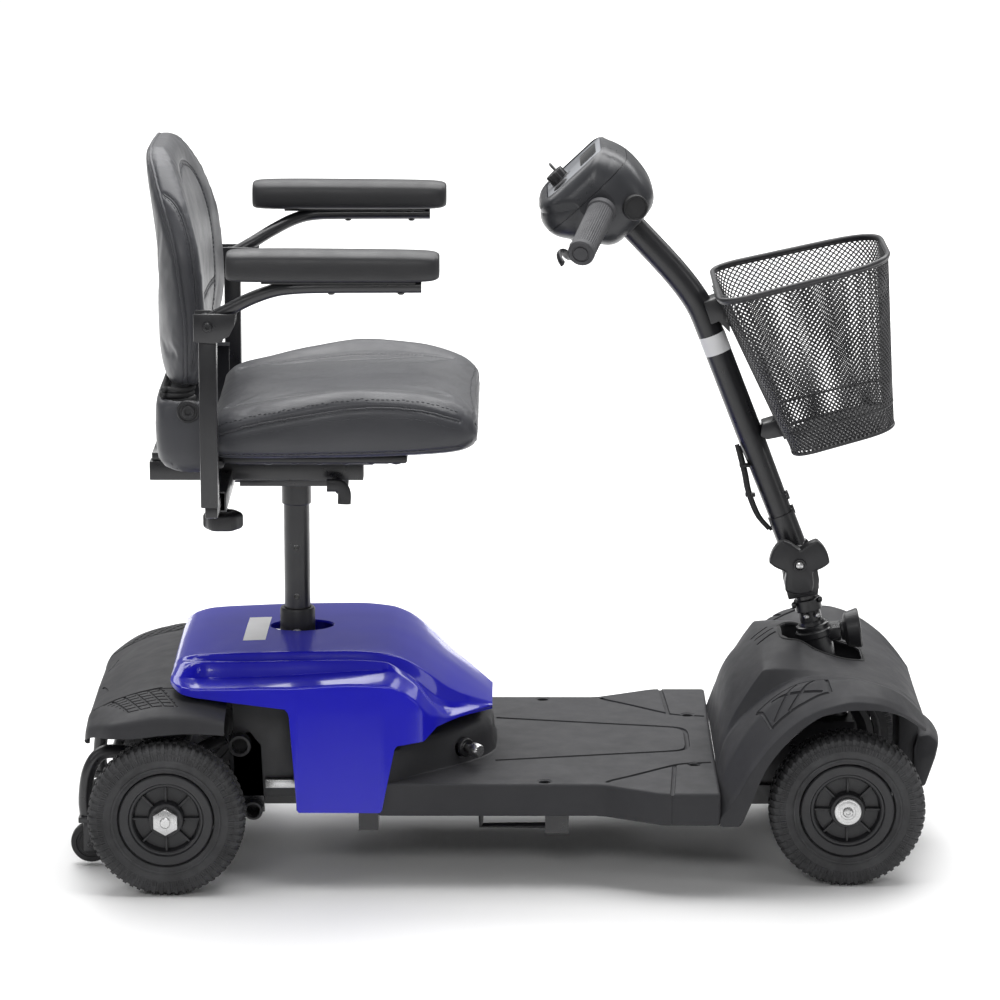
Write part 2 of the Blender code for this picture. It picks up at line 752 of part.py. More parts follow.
def make_anti_tip():
    """Two bowed tubes behind the axle, each with a fork and a small wheel just off the floor."""
    route = (
        (-0.3640, 0.170),
        (-0.440, 0.139),
        (-0.495, 0.150),
        (-0.524, 0.148),
        (-0.540, 0.125),
        (-0.5455, 0.090),
        (-0.5440, 0.064),
    )
    frame = rod((-0.505, -ANTI_TIP_Y, 0.150), (-0.505, ANTI_TIP_Y, 0.150), 0.007, 12)
    for side, sign in SIDES:
        y = sign * ANTI_TIP_Y
        bow = tube([(x, y, z) for x, z in route], 0.009, 2)
        bridge = block((-0.554, y - 0.0130, 0.058), (-0.534, y + 0.0130, 0.066))
        forks = [
            block((-0.548, y + low, 0.022), (-0.531, y + low + 0.003, 0.060))
            for low in (-0.0125, 0.0095)
        ]
        pin = cross_rod(ANTI_TIP_AXLE + Vector((0, y, 0)), 0.012, 0.003, 8)
        frame = union(frame, bow, bridge, *forks, pin)
        profile = (
            (0.0042, 0.008),
            (0.023, 0.008),
            (ANTI_TIP_RADIUS, 0.005),
            (ANTI_TIP_RADIUS, -0.005),
            (0.023, -0.008),
            (0.0042, -0.008),
        )
        wheel = ring(profile, ANTI_TIP_AXLE + Vector((0, y, 0)), (0, sign, 0), 16)
        keep(f"anti_tip_wheel_{side}", wheel, "black_rubber")
    keep("anti_tip_frame", frame, "black_paint")


def make_rear_cover():
    """The shell over the motor and the rear wheels."""
    # x, middle height, shoulder height, side height, half width, lower edge height
    rows = (
        (-0.5420, 0.178, 0.178, 0.178, 0.170, 0.172),
        (-0.5430, 0.208, 0.206, 0.203, 0.186, 0.178),
        (-0.5250, 0.224, 0.220, 0.214, 0.212, 0.190),
        (-0.4970, 0.238, 0.234, 0.224, 0.240, 0.203),
        (-0.4660, 0.250, 0.246, 0.233, 0.246, 0.207),
        (-0.4360, 0.259, 0.253, 0.239, 0.247, 0.212),
        (-0.4050, 0.261, 0.255, 0.236, 0.246, 0.212),
        (-0.3600, 0.259, 0.252, 0.227, 0.243, 0.209),
    )
    stations = [
        (
            (x, 0.0, middle),
            (x, 0.110, shoulder),
            (x, half_width - 0.035, side + 0.006),
            (x, half_width - 0.004, side),
            (x, half_width, lower),
        )
        for x, middle, shoulder, side, half_width, lower in rows
    ]
    keep("rear_cover", shell(stations, WALL), "textured_black")


# ---------------------------------------------------------------- battery
def make_battery():
    tray = block((-0.246, -0.178, 0.116), (-0.134, 0.178, 0.236))
    inside = block((-0.243, -0.175, 0.119), (-0.137, 0.175, 0.260))
    keep("battery_case", cut(tray, inside), "textured_black")
    cells = block((-0.240, -0.152, 0.1195), (-0.142, -0.0012, 0.221), 0.002)
    other = block((-0.240, 0.0012, 0.1195), (-0.142, 0.152, 0.221), 0.002)
    link = block((-0.200, -0.020, 0.200), (-0.180, 0.020, 0.2235))
    keep("battery_cells", union(cells, other, link), "battery_grey")


def make_battery_shroud():
    """The blue battery cover: a plateau with a slot for the post, a falling nose and side skirts."""
    # x, middle height, ridge (y, z), crease (y, z), flank (y, z), lower edge (y, z)
    rows = (
        (-0.4280, 0.276, 0.120, 0.274, 0.150, 0.270, 0.168, 0.266, 0.172, 0.262),
        (-0.4150, 0.290, 0.125, 0.288, 0.158, 0.282, 0.188, 0.268, 0.196, 0.256),
        (-0.3800, 0.295, 0.128, 0.292, 0.162, 0.282, 0.202, 0.270, 0.213, 0.248),
        (-0.2850, 0.297, 0.130, 0.294, 0.164, 0.284, 0.205, 0.274, 0.217, 0.232),
        (-0.2000, 0.298, 0.132, 0.295, 0.164, 0.288, 0.204, 0.281, 0.217, 0.226),
        (-0.1450, 0.294, 0.130, 0.291, 0.162, 0.284, 0.200, 0.279, 0.217, 0.222),
        (-0.1150, 0.282, 0.124, 0.278, 0.154, 0.264, 0.194, 0.258, 0.214, 0.212),
        (-0.0950, 0.268, 0.116, 0.263, 0.145, 0.240, 0.178, 0.226, 0.196, 0.196),
        (-0.0600, 0.240, 0.100, 0.235, 0.122, 0.222, 0.130, 0.214, 0.134, 0.206),
        (-0.0200, 0.206, 0.058, 0.204, 0.066, 0.203, 0.070, 0.202, 0.072, 0.199),
    )
    stations = [
        ((x, 0.0, middle), (x, y1, z1), (x, y2, z2), (x, y3, z3), (x, y4, z4))
        for x, middle, y1, z1, y2, z2, y3, z3, y4, z4 in rows
    ]
    skin = shell(stations, WALL)
    skirt = (
        (-0.281, 0.236),
        (-0.150, 0.236),
        (-0.112, 0.214),
        (-0.102, 0.192),
        (-0.140, 0.187),
        (-0.160, 0.100),
        (-0.266, 0.100),
        (-0.278, 0.222),
    )
    panels = [plate(skirt, "XZ", *span(sign, 0.2148, 0.2185)) for _, sign in SIDES]
    slot = plate(lobed_outline((-0.268, 0.0), 0.040, 0.040, 1, 0), "XY", 0.26, 0.33)
    keep("battery_shroud", cut(union(skin, *panels), slot), "gloss_blue")


# ---------------------------------------------------------------- seat
POST_TOP = 0.4855
RAIL_TOP = 0.512
SWIVEL_LEVER_ROOT = Vector((-0.225, -0.020, 0.481))
# the gap between the back cushion and the shell that holds it
PAD_GAP = 0.0016


def make_seat_post():
    """The socket on the chassis and the sliding post in it."""
    socket = rod((POST_X, 0, 0.096), (POST_X, 0, 0.317), 0.021, 20)
    base = block((-0.315, -0.058, 0.0936), (-0.2475, 0.058, 0.0990))
    gusset_outline = ((-0.313, 0.098), (-0.250, 0.098), (-0.262, 0.170), (-0.286, 0.170))
    gusset = plate(gusset_outline, "XZ", -0.003, 0.003)
    bolt = rod((POST_X, -0.017, 0.280), (POST_X, -0.027, 0.280), 0.006, 6)
    bore = rod((POST_X, 0, 0.08), (POST_X, 0, 0.33), POST_RADIUS + 0.0008, 20)
    keep("seat_socket", cut(union(socket, base, gusset, bolt), bore), "black_paint")
    post = rod((POST_X, 0, 0.105), (POST_X, 0, POST_TOP), POST_RADIUS, 20)
    sleeve = rod((POST_X, 0, 0.457), (POST_X, 0, POST_TOP - 0.001), 0.019, 20)
    pin_hole = rod((POST_X, -0.03, 0.335), (POST_X, 0.03, 0.335), 0.0035, 10)
    keep("seat_post", cut(union(post, sleeve), pin_hole), "black_paint")


def make_seat_base():
    """The steel plate on the post: fore-aft rails and the cross tube that takes both armrests."""
    base = block((-0.455, -0.060, 0.4860), (-0.185, 0.060, RAIL_TOP))
    tube_half = 0.0135
    bore_half = 0.0105
    cross_low = (ARM_BAR_X - tube_half, -0.190, 0.4865)
    cross_high = (ARM_BAR_X + tube_half, 0.190, RAIL_TOP + 0.001)
    cross = block(cross_low, cross_high)
    bore = block((ARM_BAR_X - bore_half, -0.2, 0.4890), (ARM_BAR_X + bore_half, 0.2, 0.5095))
    lightening = block((-0.345, -0.045, 0.4950), (-0.200, 0.045, 0.53))
    keep("seat_base", cut(union(base, cross), bore, lightening), "black_paint")
    arm = rod(SWIVEL_LEVER_ROOT + Vector((0, -0.050, 0)), SWIVEL_LEVER_ROOT, 0.004, 10)
    paddle = block((-0.235, -0.105, 0.455), (-0.205, -0.068, 0.484), 0.003)
    keep("swivel_lever", union(arm, paddle), "textured_black")


def rounded_section(x_back, x_front, half_width, height, bow):
    """Half a section of the backrest: its back is flat in the middle and bows forward at the sides."""
    return [
        (x_back, 0.0, height),
        (x_back, 0.60 * half_width, height),
        (x_back + bow, 0.92 * half_width, height),
        (x_back + bow + 0.006, half_width, height),
        (x_front + bow, 0.97 * half_width, height),
        (x_front + 0.5 * bow, 0.80 * half_width, height),
        (x_front, 0.50 * half_width, height),
        (x_front, 0.0, height),
    ]


def pad_section(x_back, x_front, half_width, height, bow):
    """Half a section of the back cushion, whose back runs just in front of the shell."""
    return [
        (x_back, 0.0, height),
        (x_back, 0.50 * half_width, height),
        (x_back + 0.5 * bow, 0.80 * half_width, height),
        (x_back + bow, 0.97 * half_width, height),
        (x_back + bow + 0.006, half_width, height),
        (x_front + bow, 0.93 * half_width, height),
        (x_front + 0.4 * bow, 0.55 * half_width, height),
        (x_front, 0.0, height),
    ]


def make_seat():
    pan = block((-0.372, -0.165, 0.534), (-0.070, 0.165, 0.560), 0.006)
    plinth = block((-0.340, -0.090, RAIL_TOP + GAP), (-0.150, 0.090, 0.536))
    bridge = block((-0.428, -0.206, 0.530), (-0.360, 0.206, 0.548))
    cheek = (
        (-0.440, 0.560),
        (-0.440, 0.632),
        (-0.386, 0.640),
        (-0.380, 0.600),
        (-0.372, 0.532),
        (-0.410, 0.530),
        (-0.430, 0.540),
    )
    cheeks = [plate(cheek, "XZ", *span(sign, 0.200, 0.212)) for _, sign in SIDES]
    pins = [
        cross_rod(BACK_HINGE + Vector((0, sign * 0.198, 0)), 0.018, 0.005, 12) for _, sign in SIDES
    ]
    keep("seat_pan", union(pan, plinth, bridge, *cheeks, *pins), "textured_black")
    cushion = block((-0.374, -0.205, 0.5606), (-0.030, 0.205, 0.626), 0.016, 3)
    keep("seat_cushion", cushion, "grey_vinyl")

    # height, back, seam, front, half width and how far the sides bow forward
    rows = (
        (0.667, -0.432, -0.419, -0.392, 0.192, 0.014),
        (0.720, -0.432, -0.418, -0.388, 0.204, 0.020),
        (0.800, -0.436, -0.422, -0.390, 0.198, 0.018),
        (0.866, -0.444, -0.430, -0.398, 0.172, 0.012),
        (0.912, -0.451, -0.438, -0.412, 0.122, 0.006),
        (0.931, -0.448, -0.439, -0.426, 0.070, 0.002),
    )
    foot = rounded_section(-0.434, -0.421, 0.180, 0.646, 0.012)
    shell_sections = [foot]
    pad_sections = []
    for height, x_back, x_seam, x_front, half_width, bow in rows:
        shell_sections.append(rounded_section(x_back, x_seam, half_width, height, bow))
        pad_sections.append(pad_section(x_seam + PAD_GAP, x_front, half_width, height, bow))
    back = mirrored_loft(shell_sections)
    ears = both_sides((-0.424, 0.160, 0.602), (-0.386, 0.196, 0.665))
    spine = block((-0.432, -0.170, 0.640), (-0.412, 0.170, 0.662))
    holes = [
        cross_rod(BACK_HINGE + Vector((0, sign * 0.198, 0)), 0.022, 0.0065, 12)
        for _, sign in SIDES
    ]
    keep("backrest_shell", cut(union(back, *ears, spine), *holes), "grey_vinyl")
    keep("backrest_cushion", mirrored_loft(pad_sections), "grey_vinyl")


ARM_HINGE = Vector((-0.372, 0.0, 0.738))
ARM_KNOB_X = -0.357
ARM_KNOB_Y = 0.145
ARM_KNOB_FOOT = 0.452


def make_arms():
    """Each arm: an L post that slides in the cross tube, a bowed tube on its bracket, and a pad."""
    for side, sign in SIDES:
        y = sign * ARM_Y
        hinge = ARM_HINGE + Vector((0, y, 0))
        y_low, y_high = span(sign, ARM_Y - 0.011, ARM_Y + 0.011)
        upright = block((-0.3800, y_low, 0.500), (-0.3580, y_high, 0.745))
        y_low, y_high = span(sign, 0.075, ARM_Y + 0.011)
        bar = block((ARM_BAR_X - 0.0095, y_low, 0.4900), (ARM_BAR_X + 0.0095, y_high, 0.5085))
        bracket_outline = (
            (ARM_HINGE.x - 0.014, 0.716),
            (ARM_HINGE.x + 0.020, 0.716),
            (ARM_HINGE.x + 0.036, 0.734),
            (ARM_HINGE.x + 0.038, 0.752),
            (ARM_HINGE.x - 0.014, 0.752),
        )
        bracket = plate(bracket_outline, "XZ", *span(sign, ARM_Y - 0.016, ARM_Y + 0.016))
        post = union(upright, bar, bracket)
        y_low, y_high = span(sign, ARM_Y - 0.012, ARM_Y + 0.012)
        fork_slot = block((ARM_HINGE.x - 0.0135, y_low, 0.725), (-0.320, y_high, 0.770))
        post = cut(post, fork_slot)
        bolt_start = hinge - Vector((0, sign * 0.0140, 0))
        bolt_end = hinge + Vector((0, sign * 0.0195, 0))
        hinge_bolt = rod(bolt_start, bolt_end, 0.004, 10)
        keep(f"arm_post_{side}", union(post, hinge_bolt), "black_paint")

        pad_y = sign * PAD_Y
        route = smooth_path(
            (
                (ARM_HINGE.x + 0.010, y, 0.744),
                (ARM_HINGE.x + 0.030, y + sign * 0.004, 0.758),
                (-0.300, y + sign * 0.020, 0.779),
                (-0.262, pad_y, 0.7855),
                (-0.185, pad_y, 0.7885),
                (-0.105, pad_y, 0.7900),
            ),
            3,
        )
        arm = tube(route, 0.0075, 2)
        eye = cross_rod(hinge, 0.0095, 0.0115)
        neck = block((ARM_HINGE.x, y - 0.008, 0.738), (ARM_HINGE.x + 0.018, y + 0.008, 0.750))
        bolt_hole = cross_rod(hinge, 0.030, 0.0052, 10)
        keep(f"arm_tube_{side}", cut(union(arm, eye, neck), bolt_hole), "black_paint")
        pad = block((-0.343, pad_y - 0.029, 0.7985), (-0.082, pad_y + 0.029, 0.836), 0.008, 2)
        keep(f"arm_pad_{side}", pad, "black_rubber")

        profile = (
            (0.0, 0.022),
            (0.012, 0.022),
            (0.020, 0.015),
            (0.0245, 0.012),
            (0.0245, 0.002),
            (0.022, 0.0),
            (0.0, 0.0),
        )
        knob_foot = Vector((ARM_KNOB_X, sign * ARM_KNOB_Y, ARM_KNOB_FOOT))
        knob = ring(profile, knob_foot, (0, 0, 1), 16)
        stud_start = knob_foot + Vector((0, 0, 0.0180))
        stud_end = knob_foot + Vector((0, 0, 0.0335))
        stud = rod(stud_start, stud_end, 0.004, 10)
        keep(f"arm_knob_{side}", union(knob, stud), "textured_black")


# ---------------------------------------------------------------- tiller and control head
TUBE_RADIUS = 0.0165
TUBE_ROUTE = (
    (0.3705, 0.398),
    (0.366, 0.410),
    (0.257, 0.690),
    (0.246, 0.716),
    (0.230, 0.740),
    (0.206, 0.769),
    (0.160, 0.818),
)
HEAD_CORNER = Vector((0.043, 0.0, 0.854))
HEAD_ALONG = Vector((0.079, 0.0, 0.074)).normalized()
HEAD_OUT = Vector((-HEAD_ALONG.z, 0.0, HEAD_ALONG.x))
DIAL_ALONG = 0.034
KEY_Y = 0.040


def head_point(along, across, out):
    """A point on the console: along its slope, across the scooter, and out of its surface."""
    return HEAD_CORNER + HEAD_ALONG * along + Vector((0, across, 0)) + HEAD_OUT * out


def head_block(low, high, bevel=0.0):
    """A box in the console's own axes."""
    obj = block(low, high, bevel)
    turn = Matrix((
        (HEAD_ALONG.x, 0, HEAD_OUT.x, 0),
        (0, 1, 0, 0),
        (HEAD_ALONG.z, 0, HEAD_OUT.z, 0),
        (0, 0, 0, 1),
    ))
    obj.data.transform(Matrix.Translation(HEAD_CORNER) @ turn)
    return obj


def handlebar_route():
    half = [(0.092, 0.200, 0.820), (0.119, 0.095, 0.856), (0.124, 0.070, 0.861)]
    return [(x, -y, z) for x, y, z in half] + half[::-1]


def make_tiller():
    tiller = tube([(x, 0.0, z) for x, z in TUBE_ROUTE], TUBE_RADIUS, 2)
    tongue = cross_rod(TILT_PIVOT, CLEVIS_HALF_GAP - GAP, 0.0145)
    hole = cross_rod(TILT_PIVOT, 0.030, TILT_BOLT_HOLE, 12)
    keep("tiller_tube", cut(union(tiller, tongue), hole), "black_paint")
    cable_route = (
        (0.2955, -0.006, 0.5350),
        (0.3005, -0.010, 0.5160),
        (0.3050, -0.012, 0.4980),
        (0.3100, -0.013, 0.4740),
        (0.3220, -0.012, 0.4440),
        (0.3380, -0.008, 0.4240),
    )
    keep("tiller_cable", tube(smooth_path(cable_route, 4), 0.003, 1), "black_rubber")


def make_control_head():
    silhouette = (
        (0.043, 0.854),
        (0.122, 0.928),
        (0.152, 0.913),
        (0.176, 0.884),
        (0.186, 0.860),
        (0.172, 0.836),
        (0.136, 0.802),
        (0.100, 0.807),
        (0.056, 0.815),
        (0.042, 0.832),
    )
    middle_x = 0.112
    middle_z = 0.862
    half_sizes = ((0.045, 0.98), (0.080, 0.84), (0.092, 0.55))
    sizes = [(-y, size) for y, size in reversed(half_sizes)] + [(0.0, 1.0), *half_sizes]
    sections = []
    for y, size in sizes:
        section = []
        for x, z in silhouette:
            section.append((middle_x + (x - middle_x) * size, y, middle_z + (z - middle_z) * size))
        sections.append(section)
    pod = loft(sections)
    bar_bore = tube(handlebar_route(), 0.0122, 2)
    bore_route = [(x, 0.0, z) for x, z in TUBE_ROUTE[-3:-1]] + [(0.152, 0.0, 0.8265)]
    tube_bore = tube(bore_route, TUBE_RADIUS + 0.0012, 2)
    seat = head_block((0.012, -0.068, -0.0025), (0.102, 0.068, 0.02))
    keep("control_case", cut(pod, bar_bore, tube_bore, seat), "textured_black")

    panel = head_block((0.0125, -0.0675, -0.0020), (0.1015, 0.0675, 0.0010))
    wells = []
    for y in (0.0, KEY_Y):
        wells.append(rod(head_point(DIAL_ALONG, y, -0.01), head_point(DIAL_ALONG, y, 0.01), 0.0045, 12))
    keep("control_panel", cut(panel, *wells), "satin_silver")
    dial_foot = head_point(DIAL_ALONG, 0.0, 0.0016)
    dial_top = head_point(DIAL_ALONG, 0.0, 0.0150)
    dial = rod(dial_foot, dial_top, 0.0125, 16, 0.0110)
    stem = rod(head_point(DIAL_ALONG, 0.0, -0.0018), head_point(DIAL_ALONG, 0.0, 0.004), 0.0035, 10)
    keep("speed_dial", union(dial, stem), "textured_black")
    barrel_foot = head_point(DIAL_ALONG, KEY_Y, -0.0018)
    barrel_top = head_point(DIAL_ALONG, KEY_Y, 0.0060)
    barrel = rod(barrel_foot, barrel_top, 0.0035, 10)
    bow = head_block((0.0330, 0.0310, 0.0050), (0.0350, 0.0490, 0.0230))
    keep("ignition_key", union(barrel, bow), "textured_black")

    keep("handlebar", tube(handlebar_route(), 0.0110, 2), "black_paint")
    for side, sign in SIDES:
        outer = (0.0900, sign * 0.2080, 0.8172)
        inner = (0.1180, sign * 0.0985, 0.8547)
        bar_end = (0.0915, sign * 0.2020, 0.8193)
        grip = rod(outer, inner, TUBE_RADIUS, 14)
        socket = rod(bar_end, (0.1215, sign * 0.0855, 0.8593), 0.0116, 14)
        keep(f"grip_{side}", cut(grip, socket), "grip_rubber")


THROTTLE_PIVOT = Vector((0.088, 0.0, 0.7965))


def make_throttle_lever():
    """The wigwag lever under the head, with a bent paddle for each hand."""
    half = (
        (0.088, 0.000, 0.7965),
        (0.088, 0.075, 0.7965),
        (0.076, 0.112, 0.8020),
        (0.064, 0.130, 0.8080),
        (0.068, 0.146, 0.7970),
    )
    route = [(x, -y, z) for x, y, z in half[:0:-1]] + list(half)
    paddle = tube(route, 0.0040, 1)
    boss = rod(THROTTLE_PIVOT - HEAD_OUT * 0.004, THROTTLE_PIVOT + HEAD_OUT * 0.005, 0.009, 12)
    keep("throttle_lever", union(paddle, boss), "textured_black")


# ---------------------------------------------------------------- basket
def basket_outline(rear, front, rear_half, front_half, inset=0.0):
    """Eight points round the basket at one level, rear and front given as (x, z)."""
    corner = 0.030
    rear_x = rear[0] + inset
    front_x = front[0] - inset
    slope = (front[1] - rear[1]) / (front[0] - rear[0])

    def at(x, y):
        return (x, y, rear[1] + (x - rear[0]) * slope)

    right = [
        at(rear_x, -(rear_half - inset - corner)),
        at(rear_x + corner, -(rear_half - inset)),
        at(front_x - corner, -(front_half - inset)),
        at(front_x, -(front_half - inset - corner)),
    ]
    return right + [(x, -y, z) for x, y, z in reversed(right)]


def raised(outline, rise):
    return [(x, y, z + rise) for x, y, z in outline]


BASKET_WALL = 0.004
BASKET_FLOOR_REAR = (0.362, 0.541)
BASKET_FLOOR_FRONT = (0.494, 0.563)


def make_basket():
    floor = basket_outline(BASKET_FLOOR_REAR, BASKET_FLOOR_FRONT, 0.095, 0.105)
    rim = basket_outline((0.264, 0.750), (0.478, 0.785), 0.128, 0.140)
    body = loft([floor, rim])
    inner_floor = basket_outline(BASKET_FLOOR_REAR, BASKET_FLOOR_FRONT, 0.095, 0.105, BASKET_WALL)
    inner_rim = basket_outline((0.256, 0.750), (0.480, 0.785), 0.128, 0.140, BASKET_WALL)
    inside = loft([raised(inner_floor, BASKET_WALL), raised(inner_rim, 0.020)])
    keep("basket", cut(body, inside), "black_paint")
    hook = ((0.2755, 0.7000), (0.2890, 0.6920), (0.3580, 0.5450), (0.3340, 0.5400))
    keep("basket_bracket", plate(hook, "XZ", -0.020, 0.020), "black_paint")


# ---------------------------------------------------------------- assembly
def build():
    make_wheels()
    make_rear_axles()
    make_knuckles()
    make_tie_rod()
    make_main_frame()
    make_steering_column()
    make_steering_knobs()
    make_deck_panel()
    make_release_plunger()
    make_front_shroud()
    make_front_bumper()
    make_rear_frame()
    make_drive()
    make_anti_tip()
    make_rear_cover()
    make_battery()
    make_battery_shroud()
    make_seat_post()
    make_seat_base()
    make_seat()
    make_arms()
    make_tiller()
    make_control_head()
    make_throttle_lever()
    make_basket()


def assemble():
    for side, sign in SIDES:
        rear_centre = (REAR_AXLE_X, sign * REAR_TYRE_Y, WHEEL_RADIUS)
        rear = (f"rear_tyre_{side}", f"rear_hub_{side}", f"rear_axle_{side}")
        pivot(f"rear_wheel_{side}_axis", rear_centre, rear)
        kingpin = pivot(
            f"kingpin_{side}", (FRONT_AXLE_X, sign * KINGPIN_Y, WHEEL_RADIUS), (f"steering_knuckle_{side}",)
        )
        front_centre = (FRONT_AXLE_X, sign * FRONT_TYRE_Y, WHEEL_RADIUS)
        front = (f"front_tyre_{side}", f"front_hub_{side}")
        pivot(f"front_wheel_{side}_axis", front_centre, front, kingpin)
        tip_centre = ANTI_TIP_AXLE + Vector((0, sign * ANTI_TIP_Y, 0))
        pivot(f"anti_tip_{side}_axis", tip_centre, (f"anti_tip_wheel_{side}",))
    pivot("tie_rod_travel", (FRONT_AXLE_X - STEERING_ARM, 0, 0.084), ("tie_rod",))
    pivot("release_plunger_travel", PLUNGER_MOUTH, ("release_plunger",))
    pivot("steering_lock_axis", LOCK_KNOB_FOOT, ("steering_lock_knob",))

    steering = pivot("steering_axis", STEER_FOOT, ("steering_column",))
    pivot("tilt_knob_axis", TILT_PIVOT, ("tiller_tilt_knob",), steering)
    tiller_parts = (
        "tiller_tube",
        "tiller_cable",
        "control_case",
        "control_panel",
        "handlebar",
        "grip_left",
        "grip_right",
        "basket",
        "basket_bracket",
    )
    tiller = pivot("tiller_tilt_axis", TILT_PIVOT, tiller_parts, steering)
    pivot("speed_dial_axis", head_point(DIAL_ALONG, 0.0, 0.0), ("speed_dial",), tiller)
    pivot("ignition_axis", head_point(DIAL_ALONG, KEY_Y, 0.0), ("ignition_key",), tiller)
    pivot("throttle_axis", THROTTLE_PIVOT, ("throttle_lever",), tiller)

    post = pivot("seat_height_travel", (POST_X, 0, POST_TOP), ("seat_post",))
    swivel_parts = ("seat_base", "seat_pan", "seat_cushion")
    swivel = pivot("seat_swivel_axis", (POST_X, 0, POST_TOP), swivel_parts, post)
    pivot("swivel_lever_axis", SWIVEL_LEVER_ROOT, ("swivel_lever",), swivel)
    pivot("backrest_axis", BACK_HINGE, ("backrest_shell", "backrest_cushion"), swivel)
    for side, sign in SIDES:
        knob_at = (ARM_KNOB_X, sign * ARM_KNOB_Y, ARM_KNOB_FOOT)
        pivot(f"arm_knob_{side}_axis", knob_at, (f"arm_knob_{side}",), swivel)
        arm_at = Vector((ARM_BAR_X, sign * ARM_Y, 0.499))
        width = pivot(f"arm_width_{side}_travel", arm_at, (f"arm_post_{side}",), swivel)
        hinge_at = ARM_HINGE + Vector((0, sign * ARM_Y, 0))
        flip = (f"arm_tube_{side}", f"arm_pad_{side}")
        pivot(f"arm_flip_{side}_axis", hinge_at, flip, width)


build()
assemble()
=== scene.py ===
"""The looks of the mobility scooter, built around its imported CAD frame.

Metres. +X is forward, +Y is the rider's left, +Z is up. Every visible shape is made from geometry, and
every finish is a procedural material.
"""

import json
import math

import bmesh
import bpy
import numpy as np
from mathutils import Matrix, Vector
from mathutils.bvhtree import BVHTree


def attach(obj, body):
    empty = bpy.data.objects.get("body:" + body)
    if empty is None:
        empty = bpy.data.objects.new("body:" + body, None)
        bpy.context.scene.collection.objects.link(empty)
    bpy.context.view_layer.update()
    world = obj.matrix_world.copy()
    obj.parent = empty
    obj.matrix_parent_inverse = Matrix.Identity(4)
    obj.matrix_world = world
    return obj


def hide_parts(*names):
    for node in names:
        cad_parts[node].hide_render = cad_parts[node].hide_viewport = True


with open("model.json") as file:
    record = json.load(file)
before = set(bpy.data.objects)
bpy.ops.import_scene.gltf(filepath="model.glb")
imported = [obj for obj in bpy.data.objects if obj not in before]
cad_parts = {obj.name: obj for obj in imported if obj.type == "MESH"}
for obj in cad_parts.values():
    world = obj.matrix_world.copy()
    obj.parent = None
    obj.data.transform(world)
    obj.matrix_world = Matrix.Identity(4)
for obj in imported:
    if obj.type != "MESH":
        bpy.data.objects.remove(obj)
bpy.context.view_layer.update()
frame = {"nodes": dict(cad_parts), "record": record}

LEFT, RIGHT = 1, -1
SIDES = (("left", LEFT), ("right", RIGHT))
ORIGIN = (0, 0, 0)
UP = (0, 0, 1)
ACROSS = (0, 1, 0)
# the middle of the seat post
POST_X = -0.274


# ================================================================ mesh helpers
def add_piece(name, mesh, finish, body, *replaced, smooth=35):
    """Link a mesh as a visible piece of a body. Edges sharper than smooth degrees stay sharp."""
    material, slot = finish
    obj = bpy.data.objects.new(name, mesh)
    bpy.context.scene.collection.objects.link(obj)
    mesh.name = name
    mesh.materials.clear()
    mesh.materials.append(material)
    mesh.shade_smooth()
    mesh.set_sharp_from_angle(angle=math.radians(smooth))
    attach(obj, body)
    if replaced:
        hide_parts(*replaced)
    return obj


def to_mesh(points, faces):
    """A mesh from points and faces."""
    mesh = bpy.data.meshes.new("piece")
    mesh.from_pydata([tuple(point) for point in points], [], faces)
    return mesh


def as_bmesh(*meshes):
    """One editable shape from some meshes."""
    shape = bmesh.new()
    for mesh in meshes:
        shape.from_mesh(mesh)
    return shape


def from_bmesh(shape):
    """The mesh of an editable shape, which is freed."""
    mesh = bpy.data.meshes.new("piece")
    shape.to_mesh(mesh)
    shape.free()
    return mesh


def outwards(shape):
    """The mesh of a closed bmesh, with every face turned outwards."""
    bmesh.ops.recalc_face_normals(shape, faces=shape.faces)
    if shape.calc_volume(signed=True) < 0:
        bmesh.ops.reverse_faces(shape, faces=shape.faces)
    return from_bmesh(shape)


def cleaned(shape, gap=1e-6):
    """The mesh of a closed bmesh, with doubled points joined and every face outwards."""
    bmesh.ops.remove_doubles(shape, verts=shape.verts, dist=gap)
    return outwards(shape)


def grid_faces(rows, columns, close_rows=False, close_columns=False):
    """The four-sided faces between rows of points."""
    faces = []
    for i in range(rows if close_rows else rows - 1):
        for j in range(columns if close_columns else columns - 1):
            a = i * columns + j
            b = i * columns + (j + 1) % columns
            c = (i + 1) % rows * columns + (j + 1) % columns
            d = (i + 1) % rows * columns + j
            faces.append((a, b, c, d))
    return faces


def skin(rows):
    """A closed mesh through rings of points, with its two ends filled."""
    rows = np.asarray(rows, float)
    count, width = rows.shape[:2]
    faces = grid_faces(count, width, close_columns=True)
    faces.append(tuple(range(width))[::-1])
    faces.append(tuple(range((count - 1) * width, count * width)))
    return cleaned(as_bmesh(to_mesh(rows.reshape(-1, 3), faces)))


def sheet_solid(rows, thickness):
    """A closed wall: the grid of outer points, the same grid pushed inwards, and a rim that joins them."""
    outer = np.asarray(rows, float)
    count, width = outer.shape[:2]
    along = np.gradient(outer, axis=0)
    across = np.gradient(outer, axis=1)
    normals = np.cross(along, across)
    normals /= np.maximum(np.linalg.norm(normals, axis=2, keepdims=True), 1e-9)
    if normals[count // 2, width // 2, 2] < 0:
        normals = -normals
    inner = outer - normals * thickness
    points = np.concatenate([outer.reshape(-1, 3), inner.reshape(-1, 3)])
    half = count * width
    faces = grid_faces(count, width)
    faces += [tuple(index + half for index in face[::-1]) for face in grid_faces(count, width)]
    rim = list(range(width))
    rim += [i * width + width - 1 for i in range(1, count)]
    rim += [(count - 1) * width + j for j in range(width - 2, -1, -1)]
    rim += [i * width for i in range(count - 2, 0, -1)]
    for first, second in zip(rim, rim[1:] + rim[:1]):
        faces.append((first, first + half, second + half, second))
    return outwards(as_bmesh(to_mesh(points, faces)))


